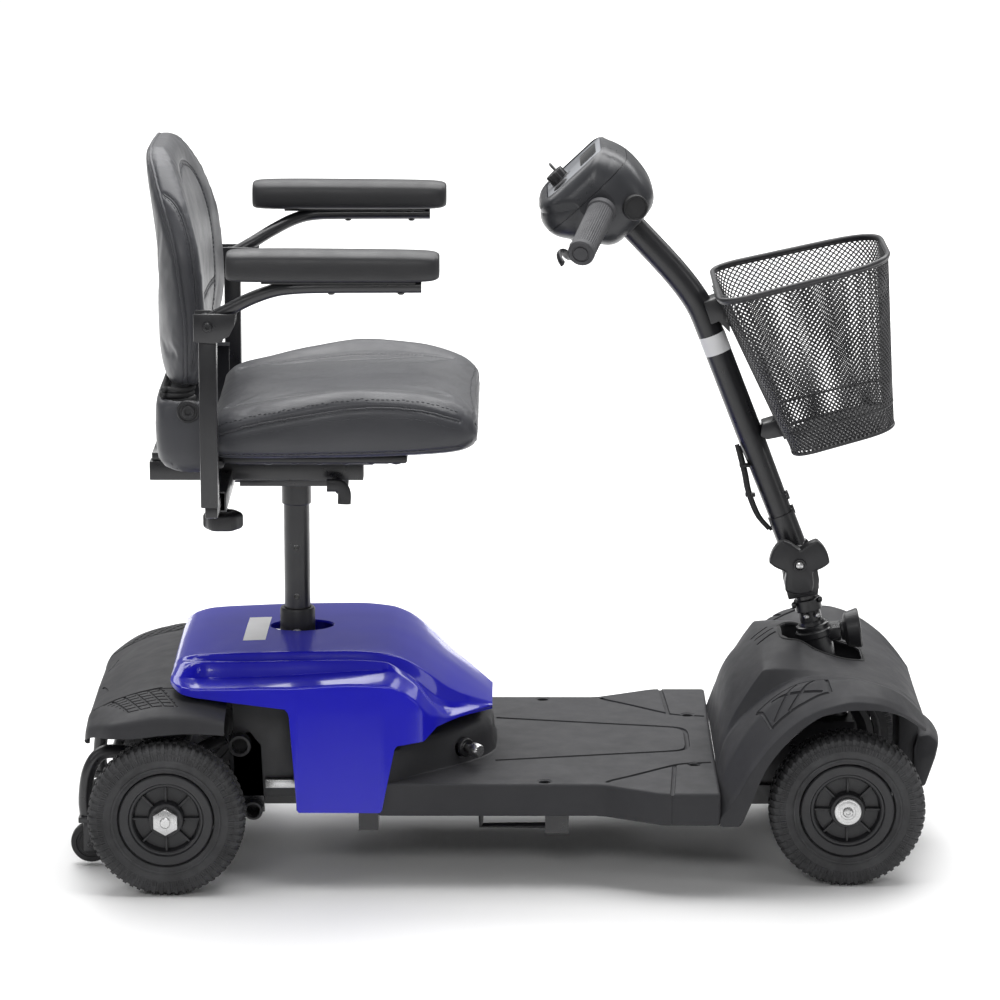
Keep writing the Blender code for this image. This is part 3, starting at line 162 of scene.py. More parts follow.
def join(*meshes):
    """One mesh from several closed ones."""
    return from_bmesh(as_bmesh(*meshes))


def placed(mesh, matrix):
    """A moved copy of a mesh."""
    copy = mesh.copy()
    copy.transform(matrix)
    if matrix.to_3x3().determinant() < 0:
        copy.flip_normals()
    return copy


def spline(controls, steps):
    """A Catmull-Rom curve through points, or a surface through rows of points."""
    knots = np.asarray(controls, float)
    first = 2 * knots[:1] - knots[1:2]
    last = 2 * knots[-1:] - knots[-2:-1]
    knots = np.concatenate([first, knots, last])
    path = []
    for index in range(1, len(knots) - 2):
        before, start, end, after = knots[index - 1 : index + 3]
        for step in range(steps):
            t = step / steps
            bend = (2 * before - 5 * start + 4 * end - after) * t**2
            twist = (3 * start - before - 3 * end + after) * t**3
            path.append((2 * start + (end - before) * t + bend + twist) / 2)
    path.append(knots[-2])
    return np.array(path)


def monotone(known, values, wanted):
    """A cubic through a table's values that never swings past them."""
    known = np.asarray(known, float)
    values = np.asarray(values, float)
    gaps = np.diff(known)
    slopes = np.diff(values) / gaps
    turns = np.zeros(len(known))
    turns[0] = slopes[0]
    turns[-1] = slopes[-1]
    for i in range(1, len(known) - 1):
        if slopes[i - 1] * slopes[i] > 0:
            first = 2 * gaps[i] + gaps[i - 1]
            second = gaps[i] + 2 * gaps[i - 1]
            turns[i] = (first + second) / (first / slopes[i - 1] + second / slopes[i])
    place = np.clip(np.searchsorted(known, wanted) - 1, 0, len(gaps) - 1)
    t = np.clip((wanted - known[place]) / gaps[place], 0, 1)
    rise = t * t * (3 - 2 * t)
    return (
        values[place] * (1 - rise)
        + values[place + 1] * rise
        + gaps[place] * t * (1 - t) * ((1 - t) * turns[place] - t * turns[place + 1])
    )


def filleted(points, radii, arc=4, runs=1):
    """A line with its inner corners rounded and its straight runs split, always into as many points."""
    points = [np.asarray(point, float) for point in points]
    line = [points[0]]
    for before, corner, after, radius in zip(points, points[1:], points[2:], radii):
        into = corner - before
        out = after - corner
        reach_in = min(radius, 0.45 * np.linalg.norm(into))
        reach_out = min(radius, 0.45 * np.linalg.norm(out))
        start = corner - into / max(np.linalg.norm(into), 1e-9) * reach_in
        end = corner + out / max(np.linalg.norm(out), 1e-9) * reach_out
        for step in range(1, runs):
            line.append(line[-1] + (start - line[-1]) / (runs - step + 1))
        for step in range(arc + 1):
            t = step / arc
            line.append(start * (1 - t) ** 2 + corner * 2 * t * (1 - t) + end * t**2)
    tail = line[-1]
    for step in range(1, runs + 1):
        line.append(tail + (points[-1] - tail) * step / runs)
    return np.array(line)


def frames_along(path):
    """Each point of a path with two directions square to it, carried along without twist."""
    path = np.asarray(path, float)
    tangents = np.gradient(path, axis=0)
    tangents /= np.maximum(np.linalg.norm(tangents, axis=1, keepdims=True), 1e-12)
    side = np.cross(tangents[0], (0.0, 0.0, 1.0))
    if np.linalg.norm(side) < 1e-3:
        side = np.cross(tangents[0], (0.0, 1.0, 0.0))
    for point, tangent in zip(path, tangents):
        side = side - tangent * np.dot(side, tangent)
        side /= np.linalg.norm(side)
        yield point, side, np.cross(tangent, side)


def pipe(path, radius, sides=16, scale=None, squeeze=1.0):
    """A round tube along a path. scale gives each point's share of the radius, squeeze flattens it."""
    rows = []
    for index, (point, side, up) in enumerate(frames_along(path)):
        size = radius * (scale[index] if scale is not None else 1.0)
        angles = np.arange(sides) * 2 * math.pi / sides
        rows.append(
            point + size * np.cos(angles)[:, None] * side * squeeze + size * np.sin(angles)[:, None] * up
        )
    return skin(rows)


def lathe(profile, centre, axis, sides=48, closed=False):
    """(radius, height) points turned about an axis. An open profile starts and ends on the axis."""
    angles = np.arange(sides) * 2 * math.pi / sides
    round_about = np.stack([np.cos(angles), np.sin(angles), np.zeros(sides)], axis=1)
    up = np.array((0.0, 0.0, 1.0))
    rows = np.array([radius * round_about + height * up for radius, height in profile])
    faces = grid_faces(len(rows), sides, close_rows=closed, close_columns=True)
    if not closed:
        faces.append(tuple(range(sides))[::-1])
        faces.append(tuple(range((len(rows) - 1) * sides, len(rows) * sides)))
    mesh = cleaned(as_bmesh(to_mesh(rows.reshape(-1, 3), faces)), 1e-5)
    mesh.transform(Matrix.Translation(centre) @ turned_to(axis))
    return mesh


def rod(radius, low, high, centre, axis, sides):
    """A plain cylinder between two heights above its centre."""
    return lathe(((0, low), (radius, low), (radius, high), (0, high)), centre, axis, sides)


def turned_to(axis):
    """The turn that brings +Z onto an axis."""
    return Vector(axis).normalized().to_track_quat("Z", "X").to_matrix().to_4x4()


def prism(outline, plane, low, high, bevel=0.0, segments=2):
    """A flat outline in the XY, XZ or YZ plane, given a thickness and rounded edges."""
    shape = bmesh.new()
    places = {
        "XY": lambda a, b, c: (a, b, c), "XZ": lambda a, b, c: (a, c, b), "YZ": lambda a, b, c: (c, a, b)
    }
    at = places[plane]
    bottom = [shape.verts.new(at(a, b, low)) for a, b in outline]
    top = [shape.verts.new(at(a, b, high)) for a, b in outline]
    shape.faces.new(bottom[::-1])
    shape.faces.new(top)
    for index in range(len(outline)):
        after = (index + 1) % len(outline)
        shape.faces.new((bottom[index], bottom[after], top[after], top[index]))
    bmesh.ops.recalc_face_normals(shape, faces=shape.faces)
    if bevel:
        bmesh.ops.bevel(
            shape, geom=shape.edges[:], offset=bevel, segments=segments, profile=0.5, affect="EDGES"
        )
    return cleaned(shape)


def round_outline(count, radius_at, middle=(0.0, 0.0), flatten=1.0):
    """An outline round a middle point, whose radius depends on the angle."""
    outline = []
    for step in range(count):
        angle = 2 * math.pi * step / count
        radius = radius_at(angle)
        outline.append(
            (middle[0] + radius * math.cos(angle), middle[1] + flatten * radius * math.sin(angle))
        )
    return outline


def span(sign, inner, outer):
    """The low and high Y of something between two distances from the middle of the scooter."""
    return sorted((sign * inner, sign * outer))


def box(low, high, bevel=0.0, segments=2):
    """A box between two corners with rounded edges."""
    outline = ((low[0], low[1]), (high[0], low[1]), (high[0], high[1]), (low[0], high[1]))
    return prism(outline, "XY", low[2], high[2], bevel, segments)


def hexagon(centre, axis, across_corners, depth, bevel=0.0006):
    """A hexagonal head with eased edges, from its foot at centre."""
    angles = [math.pi / 3 * step for step in range(6)]
    radius = across_corners / 2
    outline = [(radius * math.cos(angle), radius * math.sin(angle)) for angle in angles]
    mesh = prism(outline, "XY", 0.0, depth, bevel, 2)
    mesh.transform(Matrix.Translation(centre) @ turned_to(axis))
    return mesh


def bolt(centre, axis, radius, height, sides=20):
    """A domed screw head with a socket in it."""
    profile = (
        (0.0, 0.0), (radius, 0.0), (radius, height * 0.45), (radius * 0.82, height * 0.85),
        (radius * 0.55, height), (radius * 0.42, height), (radius * 0.36, height * 0.55),
        (0.0, height * 0.55),
    )
    return lathe(profile, centre, axis, sides)


def subdivided(mesh, levels):
    """The mesh smoothed by Catmull-Clark subdivision."""
    obj = bpy.data.objects.new("cage", mesh)
    bpy.context.scene.collection.objects.link(obj)
    step = obj.modifiers.new("smooth", "SUBSURF")
    step.levels = levels
    step.render_levels = levels
    result = evaluated(obj)
    bpy.data.objects.remove(obj, do_unlink=True)
    return result


def evaluated(obj):
    """The mesh of an object with its modifiers applied."""
    bpy.context.view_layer.update()
    return bpy.data.meshes.new_from_object(obj.evaluated_get(bpy.context.evaluated_depsgraph_get()))


def boolean(mesh, other, crossing=False):
    """One closed mesh cut by another. With crossing, the second may pass through itself."""
    target = bpy.data.objects.new("target", mesh)
    tool = bpy.data.objects.new("tool", other)
    for obj in (target, tool):
        bpy.context.scene.collection.objects.link(obj)
    step = target.modifiers.new("boolean", "BOOLEAN")
    step.operation = "DIFFERENCE"
    step.solver = "EXACT"
    step.use_self = crossing
    step.object = tool
    result = evaluated(target)
    for obj in (target, tool):
        bpy.data.objects.remove(obj, do_unlink=True)
    return result


# ================================================================ materials
def new_material(name):
    """A material with its node tree and its shader node."""
    material = bpy.data.materials.new(name)
    material.use_nodes = True
    tree = material.node_tree
    return material, tree, tree.nodes["Principled BSDF"]


def add_node(tree, kind, **settings):
    """A new node with some settings."""
    node = tree.nodes.new(kind)
    for name, value in settings.items():
        setattr(node, name, value)
    return node


def object_point(tree):
    """The socket that gives a position on the piece."""
    return add_node(tree, "ShaderNodeTexCoord").outputs["Object"]


def noise(tree, point, scale, detail=4.0, rough=0.55):
    """The socket of a noise pattern."""
    node = add_node(tree, "ShaderNodeTexNoise")
    node.inputs["Scale"].default_value = scale
    node.inputs["Detail"].default_value = detail
    node.inputs["Roughness"].default_value = rough
    tree.links.new(point, node.inputs["Vector"])
    return node.outputs["Fac"]


def cells(tree, point, scale, feature="F1"):
    """The socket of a cell pattern."""
    node = add_node(tree, "ShaderNodeTexVoronoi", feature=feature)
    node.inputs["Scale"].default_value = scale
    tree.links.new(point, node.inputs["Vector"])
    return node.outputs["Distance"]


def ramp(tree, value, low, high):
    """Turn a 0 to 1 value into a range of numbers or colours."""
    node = add_node(tree, "ShaderNodeValToRGB")
    node.color_ramp.elements[0].position = 0.3
    node.color_ramp.elements[1].position = 0.7
    for element, wanted in zip(node.color_ramp.elements, (low, high)):
        element.color = wanted if isinstance(wanted, tuple) else (wanted, wanted, wanted, 1)
    tree.links.new(value, node.inputs["Fac"])
    return node.outputs["Color"]


def bump(tree, shader, heights):
    """Chain bumps of (height, strength, distance) into the shader's normal."""
    previous = None
    for height, strength, distance in heights:
        node = add_node(tree, "ShaderNodeBump")
        node.inputs["Strength"].default_value = strength
        node.inputs["Distance"].default_value = distance
        tree.links.new(height, node.inputs["Height"])
        if previous:
            tree.links.new(previous, node.inputs["Normal"])
        previous = node.outputs["Normal"]
    tree.links.new(previous, shader.inputs["Normal"])


def shade(colour, factor):
    """A colour made lighter or darker, with full alpha."""
    return tuple(channel * factor for channel in colour) + (1.0,)


def set_inputs(shader, values):
    """Set some inputs of a shader by name."""
    for name, value in values.items():
        shader.inputs[name].default_value = value


def clouded(name, colour, spread, cloud, rough, rub, values):
    """A new material whose colour and roughness drift, each by its own noise, and its point socket."""
    material, tree, shader = new_material(name)
    point = object_point(tree)
    drift = noise(tree, point, *cloud)
    base = ramp(tree, drift, shade(colour, spread[0]), shade(colour, spread[1]))
    tree.links.new(base, shader.inputs["Base Color"])
    tree.links.new(ramp(tree, noise(tree, point, *rub), *rough), shader.inputs["Roughness"])
    set_inputs(shader, values)
    return material, tree, shader, point


def around(value, below, above):
    """A range about a value."""
    return value - below, value + above


def moulded(name, colour, roughness=0.55, grain=1400, depth=0.00012, specular=0.5):
    """Moulded plastic: a fine sparked grain, slow cloudiness and rubbed patches."""
    material, tree, shader, point = clouded(
        name, colour, (0.88, 1.12), (9.0, 3.0), around(roughness, 0.07, 0.07), (35.0, 5.0),
        {"Specular IOR Level": specular},
    )
    fine = noise(tree, point, grain, 2.0)
    pits = cells(tree, point, grain * 0.7)
    bump(tree, shader, ((fine, 0.35, depth), (pits, 0.25, depth)))
    return material


def painted(name, colour, roughness=0.32, coat=0.3):
    """Powder coat: faint orange peel under a thin gloss."""
    material, tree, shader, point = clouded(
        name, colour, (0.85, 1.2), (14.0, 2.0), around(roughness, 0.06, 0.08), (60.0, 5.0),
        {"Coat Weight": coat, "Coat Roughness": 0.25},
    )
    bump(tree, shader, ((noise(tree, point, 420.0, 2.0), 0.12, 0.0002),))
    return material


def glossy_plastic(name, colour, roughness=0.16, coat=0.9, glow=0.0):
    """Polished moulded plastic with a clear coat, lighter by glow where it is seen at a low angle."""
    material, tree, shader, point = clouded(
        name,
        colour,
        (0.95, 1.05),
        (6.0, 2.0),
        around(roughness, 0.03, 0.05),
        (50.0, 4.0),
        {
            "Coat Weight": coat, "Coat Roughness": 0.04, "Specular IOR Level": 0.5 * coat,
            "Sheen Weight": glow, "Sheen Roughness": 0.35, "Sheen Tint": (0.45, 0.45, 1.0, 1),
        },
    )
    bump(tree, shader, ((noise(tree, point, 60.0, 1.0), 0.04, 0.0004),))
    return material


def rubber(name, colour, roughness=0.72, dust=0.35):
    """Rubber with a dusty bloom and a fine moulded skin."""
    material, tree, shader, point = clouded(
        name, colour, (1 - dust, 1 + dust), (22.0, 6.0, 0.65), around(roughness, 0.08, 0.08), (90.0, 4.0),
        {"Specular IOR Level": 0.4},
    )
    bump(tree, shader, ((noise(tree, point, 800.0, 3.0), 0.3, 0.0002),))
    return material


def vinyl(name, colour):
    """Upholstery vinyl: a pebbled leather grain with fine creases and a soft sheen."""
    material, tree, shader, point = clouded(
        name, colour, (0.88, 1.12), (7.0, 4.0), (0.34, 0.49), (26.0, 5.0),
        {"Sheen Weight": 0.12, "Sheen Roughness": 0.4},
    )
    pebbles = cells(tree, point, 620.0, "SMOOTH_F1")
    creases = noise(tree, point, 210.0, 6.0, 0.7)
    folds = noise(tree, point, 40.0, 3.0)
    bump(tree, shader, ((pebbles, 0.28, 0.00035), (creases, 0.16, 0.0005), (folds, 0.08, 0.0015)))
    return material


def metal(name, colour, roughness=0.28, scratch=0.12):
    """Plated or cast metal with fine scratches."""
    lines = (700.0, 3.0, 0.6)
    material, tree, shader, point = clouded(
        name, colour, (0.85, 1.08), (60.0, 4.0), around(roughness, 0.08, 0.12), lines, {"Metallic": 1.0}
    )
    bump(tree, shader, ((noise(tree, point, *lines), scratch, 0.0002),))
    return material


# each finish is a material and a slot name, by which the CAD parts below are given their materials
PLASTIC = (moulded("charcoal_plastic", (0.03, 0.03, 0.033), 0.58, specular=0.28), "body_plastic")
HEAD_PLASTIC = (moulded("head_plastic", (0.03, 0.031, 0.035), 0.33, 1600, 0.00005), "body_plastic")
HUB_PLASTIC = (moulded("hub_plastic", (0.016, 0.016, 0.018), 0.42, 1800, 0.00006), "hub_plastic")
KNOB_PLASTIC = (moulded("knob_plastic", (0.016, 0.016, 0.018), 0.4, 1500, 0.00008), "knob_black")
BATTERY_PLASTIC = (moulded("battery_plastic", (0.06, 0.06, 0.064), 0.5), "battery_grey")
BLUE = (glossy_plastic("gloss_blue", (0.01, 0.009, 0.46), 0.18, 0.5, 0.35), "shroud_blue")
PAINT = (painted("black_paint", (0.012, 0.012, 0.014)), "frame_paint")
WIRE_PAINT = (painted("wire_paint", (0.018, 0.018, 0.02), 0.42, 0.15), "frame_paint")
TYRE = (rubber("tyre_rubber", (0.04, 0.04, 0.042), 0.72), "tyre_black")
SOFT_RUBBER = (rubber("soft_rubber", (0.018, 0.018, 0.019), 0.6, 0.2), "rubber_black")
GRIP = (rubber("grip_rubber", (0.052, 0.052, 0.056), 0.62, 0.15), "grip_rubber")
PAD_FOAM = (moulded("pad_foam", (0.018, 0.018, 0.02), 0.46, 900, 0.0002), "pad_black")
VINYL = (vinyl("seat_vinyl", (0.036, 0.037, 0.043)), "seat_vinyl")
THREAD = (rubber("thread", (0.046, 0.047, 0.053), 0.6, 0.1), "seat_vinyl")
ZINC = (metal("zinc", (0.6, 0.6, 0.6), 0.3), "zinc_steel")
CAST = (metal("cast_metal", (0.26, 0.26, 0.27), 0.5, 0.4), "cast_drive")
SILVER = (glossy_plastic("silver_panel", (0.3, 0.31, 0.33), 0.3, 0.5), "panel_silver")
SCREEN = (glossy_plastic("dark_window", (0.01, 0.012, 0.014), 0.1), None)
LABEL = (moulded("blank_label", (0.75, 0.75, 0.76), 0.4, 900, 0.00004), None)
TRIM_PLASTIC = (KNOB_PLASTIC[0], "body_plastic")
BLACK_BOLT = (KNOB_PLASTIC[0], "frame_paint")

CAD_LOOKS = (PLASTIC, BLUE, PAINT, TYRE, HUB_PLASTIC, ZINC, CAST, SOFT_RUBBER, GRIP, PAD_FOAM, VINYL)
CAD_FINISHES = {slot: look for look, slot in (*CAD_LOOKS, SILVER, BATTERY_PLASTIC, KNOB_PLASTIC)}
for subpart in frame["record"]["subparts"]:
    node_mesh = frame["nodes"][subpart["node"]].data
    node_mesh.materials.clear()
    node_mesh.materials.append(CAD_FINISHES[subpart["material_slot"]])


# ================================================================ camera and studio
def area_light(name, at, look, size, power, size_y=None):
    """A rectangular lamp aimed at a point."""
    data = bpy.data.lights.new(name, "AREA")
    data.shape = "RECTANGLE"
    data.size = size
    data.size_y = size_y or size
    data.energy = power
    light = bpy.data.objects.new(name, data)
    light.location = at
    light.rotation_euler = (Vector(look) - Vector(at)).to_track_quat("-Z", "Y").to_euler()
    bpy.context.scene.collection.objects.link(light)


FLOOR_REACH = 40.0
CAMERA_AT = (0.0086, -5.699, 1.7343)
CAMERA_LENS = 162.2
# degrees that the camera looks down, and turns
CAMERA_DOWN, CAMERA_TURN = 12.607, 0.19


def set_up_studio():
    """The camera that matches the photo, a white floor, soft daylight and five lamps."""
    camera_data = bpy.data.cameras.new("camera")
    camera_data.lens = CAMERA_LENS
    camera_data.sensor_width = 36.0
    camera = bpy.data.objects.new("camera", camera_data)
    camera.location = CAMERA_AT
    camera.rotation_euler = (math.radians(90 - CAMERA_DOWN), 0.0, math.radians(CAMERA_TURN))
    bpy.context.scene.collection.objects.link(camera)
    bpy.context.scene.camera = camera

    floor_material, tree, shader = new_material("studio_floor")
    shader.inputs["Roughness"].default_value = 0.6
    drift = noise(tree, object_point(tree), 0.4, 2.0)
    tree.links.new(
        ramp(tree, drift, (0.9, 0.9, 0.9, 1), (0.92, 0.92, 0.92, 1)), shader.inputs["Base Color"]
    )
    corners = [(x * FLOOR_REACH, y * FLOOR_REACH, 0) for x, y in ((-1, -1), (1, -1), (1, 1), (-1, 1))]
    floor = bpy.data.objects.new("studio_floor", to_mesh(corners, [(0, 1, 2, 3)]))
    floor.data.materials.append(floor_material)
    bpy.context.scene.collection.objects.link(floor)

    world = bpy.data.worlds.new("studio")
    world.use_nodes = True
    background = world.node_tree.nodes["Background"]
    background.inputs["Color"].default_value = (1.0, 1.0, 1.0, 1.0)
    background.inputs["Strength"].default_value = 0.22
    bpy.context.scene.world = world
    bpy.context.scene.view_settings.view_transform = "Standard"

    area_light("overhead", (0.1, 0.3, 3.4), (0, 0, 0.2), 3.4, 155.0, 2.6)
    area_light("backdrop", (0.0, 6.0, 4.5), (0, 7.0, 0.0), 12.0, 900.0, 7.0)
    area_light("near_fill", (-0.6, -4.2, 2.6), (0, 0, 0.3), 2.4, 40.0, 0.8)
    area_light("front_strip", (3.2, -1.2, 1.6), (0.1, 0, 0.4), 0.5, 7.0, 1.8)
    area_light("rear_strip", (-3.0, -1.6, 1.8), (-0.2, 0, 0.5), 0.5, 9.0, 1.8)


set_up_studio()

# ================================================================ wheels
AXLE_Z = 0.1
REAR_AXLE_X = -0.431
FRONT_AXLE_X = 0.432

# for each end, where the axle is and how far out its wheels are
WHEEL_PLACES = (("rear", REAR_AXLE_X, 0.225), ("front", FRONT_AXLE_X, 0.18))

LUGS = 62
# the six edges of a lug within its share of the turn, shoulder block first, then centre block
LUG_EDGES = (0.0, 0.05, 0.27, 0.49, 0.54, 0.77)


def tyre_mesh():
    """A knobby tyre about +Z, with staggered shoulder and centre blocks and ribbed side walls."""
    groove = 0.0019
    rib = 0.0009
    # radius, height, block share of the shoulder, block share of the centre, rib share
    profile = (
        (0.0605, 0.0165, 0, 0, 0), (0.062, 0.02, 0, 0, 0), (0.066, 0.0222, 0, 0, 0),
        (0.0672, 0.0238, 0, 0, 0), (0.069, 0.024, 0, 0, 0), (0.0702, 0.0228, 0, 0, 0),
        (0.074, 0.024, 0, 0, 0), (0.079, 0.0246, 0, 0, 0), (0.0795, 0.0246, 0, 0, 1),
        (0.0868, 0.0242, 0, 0, 1), (0.0873, 0.0241, 0, 0, 0), (0.088, 0.024, 0, 0, 0),
        (0.0885, 0.024, 0.8, 0, 0), (0.0945, 0.023, 1, 0, 0), (0.098, 0.0195, 1, 0, 0),
        (0.0992, 0.016, 1, 0, 0), (0.0994, 0.01, 1, 0, 0), (0.0994, 0.0094, 0, 0, 0),
        (0.0996, 0.0086, 0, 0, 0), (0.0996, 0.008, 0, 1, 0), (0.1, 0.0004, 0, 1, 0),
    )
    whole = [*profile, *[(r, -h, s, c, q) for r, h, s, c, q in reversed(profile)]]
    whole[len(profile)] = (0.1, -0.0004, 0, 1, 0)
    edges = np.array(LUG_EDGES)
    share = 2 * math.pi / LUGS
    angles = np.concatenate([(index + edges) * share for index in range(LUGS)])
    shoulder_up = np.tile([0, 1, 1, 1, 0, 0], LUGS)
    centre_up = np.tile([1, 0, 0, 0, 1, 1], LUGS)
    rib_up = np.tile([0, 1, 0, 1, 0, 1], LUGS)
    rows = []
    for radius, height, shoulder, centre, ribbed in whole:
        sunk = np.zeros(len(angles))
        on_tread = radius > 0.0882
        if on_tread:
            block = shoulder * shoulder_up + centre * centre_up
            sunk = groove * (1 - np.clip(block, 0, 1))
        reach = radius - sunk
        lift = np.sign(height) * ribbed * rib * rib_up
        rows.append(
            np.stack(
                [
                    reach * np.cos(angles), reach * np.sin(angles),
                    height + lift - 0.35 * sunk * np.sign(height),
                ],
                axis=1,
            )
        )
    faces = grid_faces(len(rows), len(angles), close_rows=True, close_columns=True)
    return cleaned(as_bmesh(to_mesh(np.array(rows).reshape(-1, 3), faces)))


def hub_mesh():
    """A moulded hub about +Z: a stepped rim, a dished web with eight ribs and a boss."""
    profile = (
        (0.0085, 0.0212), (0.0205, 0.0212), (0.0215, 0.0204), (0.0235, 0.0075), (0.04, 0.007),
        (0.0418, 0.011), (0.0425, 0.016), (0.044, 0.0172), (0.0462, 0.0172), (0.047, 0.019),
        (0.048, 0.02), (0.056, 0.0208), (0.058, 0.0208), (0.059, 0.0202), (0.06, 0.019), (0.0602, -0.019),
        (0.052, -0.019), (0.04, -0.0045), (0.0245, -0.0045), (0.0225, -0.02), (0.0085, -0.02),
    )
    hub = lathe(profile, ORIGIN, UP, 64, closed=True)
    rib = box((0.02, -0.0014, 0.006), (0.0425, 0.0014, 0.0135), 0.0007)
    ribs = [placed(rib, Matrix.Rotation(index * math.pi / 4, 4, "Z")) for index in range(8)]
    return join(hub, *ribs)


def make_wheels():
    """A tyre and a hub on each of the four wheels."""
    parts = (("tyre", "tread", tyre_mesh(), TYRE), ("hub", "moulding", hub_mesh(), HUB_PLASTIC))
    for side, sign in SIDES:
        for end, x, y in WHEEL_PLACES:
            place = Matrix.Translation((x, sign * y, AXLE_Z)) @ turned_to((0, sign, 0))
            for part, detail, mesh, finish in parts:
                name = f"{end}_{part}_{side}"
                body = f"{end}_wheel_{side}"
                add_piece(f"{name}_{detail}", placed(mesh, place), finish, body, name, smooth=30)


make_wheels()

# ================================================================ body panels
PANEL_WALL = 0.003


def table_at(rows, xs):
    """Read a table, whose first column is X, at every wanted X."""
    rows = np.array(rows, float)
    return [monotone(rows[:, 0], rows[:, column], xs) for column in range(1, rows.shape[1])]


def mirrored_rows(halves):
    """Sections given from the middle outwards to +Y, with their mirror image at -Y in front."""
    rows = []
    for half in halves:
        near = half[:0:-1] * np.array((1.0, -1.0, 1.0))
        rows.append(np.concatenate([near, half]))
    return np.array(rows)


def drop_on(tree, x, y):
    """The highest point of a surface at some x and y, or None."""
    return tree.ray_cast(Vector((x, y, 2.0)), Vector((0, 0, -1)))[0]


def surface_of(mesh):
    """A search tree over the faces of a mesh."""
    shape = as_bmesh(mesh)
    tree = BVHTree.FromBMesh(shape)
    shape.free()
    return tree


def on_surface(tree, line, steps=12, direction=(0, 0, -1)):
    """A line of points moved along a direction until they lie on a surface."""
    direction = Vector(direction).normalized()
    points = []
    for x, y, z in spline(line, steps):
        start = Vector((x, y, z)) - direction * 1.0
        hit = tree.ray_cast(start, direction)[0]
        if hit is not None:
            points.append(tuple(hit))
    return points


def resampled(points, count):
    """The same line in a number of equal steps."""
    points = np.asarray(points, float)
    steps = np.linalg.norm(np.diff(points, axis=0), axis=1)
    reach = np.concatenate([[0], np.cumsum(steps)])
    wanted = np.linspace(0, reach[-1], count + 1)
    return np.stack([np.interp(wanted, reach, points[:, axis]) for axis in range(3)], axis=1)


def even_path(points, gap):
    """The same line with points every gap metres."""
    steps = np.linalg.norm(np.diff(np.asarray(points, float), axis=0), axis=1)
    return resampled(points, max(int(np.cumsum(steps)[-1] / gap), 2))


def grooved(mesh, lines, radius):
    """Cut a round-bottomed groove along each line of (x, y) points, following the surface."""
    tree = surface_of(mesh)
    cutters = []
    for line in lines:
        path = on_surface(tree, at_height(line, 0))
        if len(path) > 2:
            cutters.append(pipe(even_path(path, 0.006), radius, 8))
    return boolean(mesh, join(*cutters), crossing=True)


def flip(line):
    """The mirror image of a line on the other side."""
    return [(x, -y, *rest) for x, y, *rest in line]


def mirrored(half):
    """A closed outline from its half at +Y."""
    return [*half, *flip(half[::-1])]


def carried_over(half):
    """A line from +Y to -Y, from its half that ends in the middle."""
    return [*half, *flip(half[-2::-1])]


def drawn_in(ring, middle, amount):
    """A ring moved towards a middle point by the same length everywhere."""
    out = ring - middle
    return middle + out * (1 - amount / np.maximum(np.linalg.norm(out, axis=1, keepdims=True), 1e-6))


def groove_cutter(line, radius):
    """A round bar along a line, for cutting a groove."""
    return pipe(even_path(spline(line, 6), 0.006), radius, 8)


def at_height(line, z):
    """A line of (x, y) points lifted to one height."""
    return [(x, y, z) for x, y in line]


HOOD_TABLE = (
    # x, middle, crown, shoulder, wall foot, fender top, crease, lower edge, half width
    (0.2675, 0.139, 0.139, 0.138, 0.137, 0.126, 0.11, 0.097, 0.256),
    (0.2715, 0.19, 0.186, 0.158, 0.154, 0.138, 0.117, 0.0955, 0.256),
    (0.276, 0.213, 0.208, 0.176, 0.172, 0.15, 0.122, 0.0955, 0.256),
    (0.29, 0.241, 0.238, 0.208, 0.196, 0.178, 0.142, 0.0955, 0.256),
    (0.305, 0.257, 0.254, 0.234, 0.213, 0.203, 0.17, 0.122, 0.256),
    (0.318, 0.268, 0.265, 0.254, 0.226, 0.22, 0.189, 0.156, 0.256),
    (0.329, 0.276, 0.273, 0.2665, 0.236, 0.232, 0.204, 0.177, 0.256),
    (0.35, 0.287, 0.282, 0.2675, 0.249, 0.25, 0.226, 0.204, 0.256),
    (0.372, 0.289, 0.284, 0.2665, 0.258, 0.262, 0.243, 0.225, 0.256),
    (0.4, 0.273, 0.271, 0.264, 0.262, 0.268, 0.256, 0.241, 0.256),
    (0.43, 0.262, 0.2605, 0.261, 0.262, 0.268, 0.261, 0.245, 0.249),
    (0.463, 0.253, 0.253, 0.2545, 0.255, 0.26, 0.255, 0.241, 0.234),
    (0.497, 0.238, 0.238, 0.239, 0.239, 0.242, 0.236, 0.228, 0.206),
    (0.518, 0.221, 0.221, 0.222, 0.221, 0.222, 0.215, 0.211, 0.183),
    (0.533, 0.203, 0.203, 0.204, 0.204, 0.203, 0.199, 0.196, 0.164),
)
# the middle of the opening for the steering column
OPENING_X = 0.407


def widened(outline, factor):
    """An outline round the steering opening, made wider or narrower."""
    return [(OPENING_X + (x - OPENING_X) * factor, y * factor) for x, y in outline]


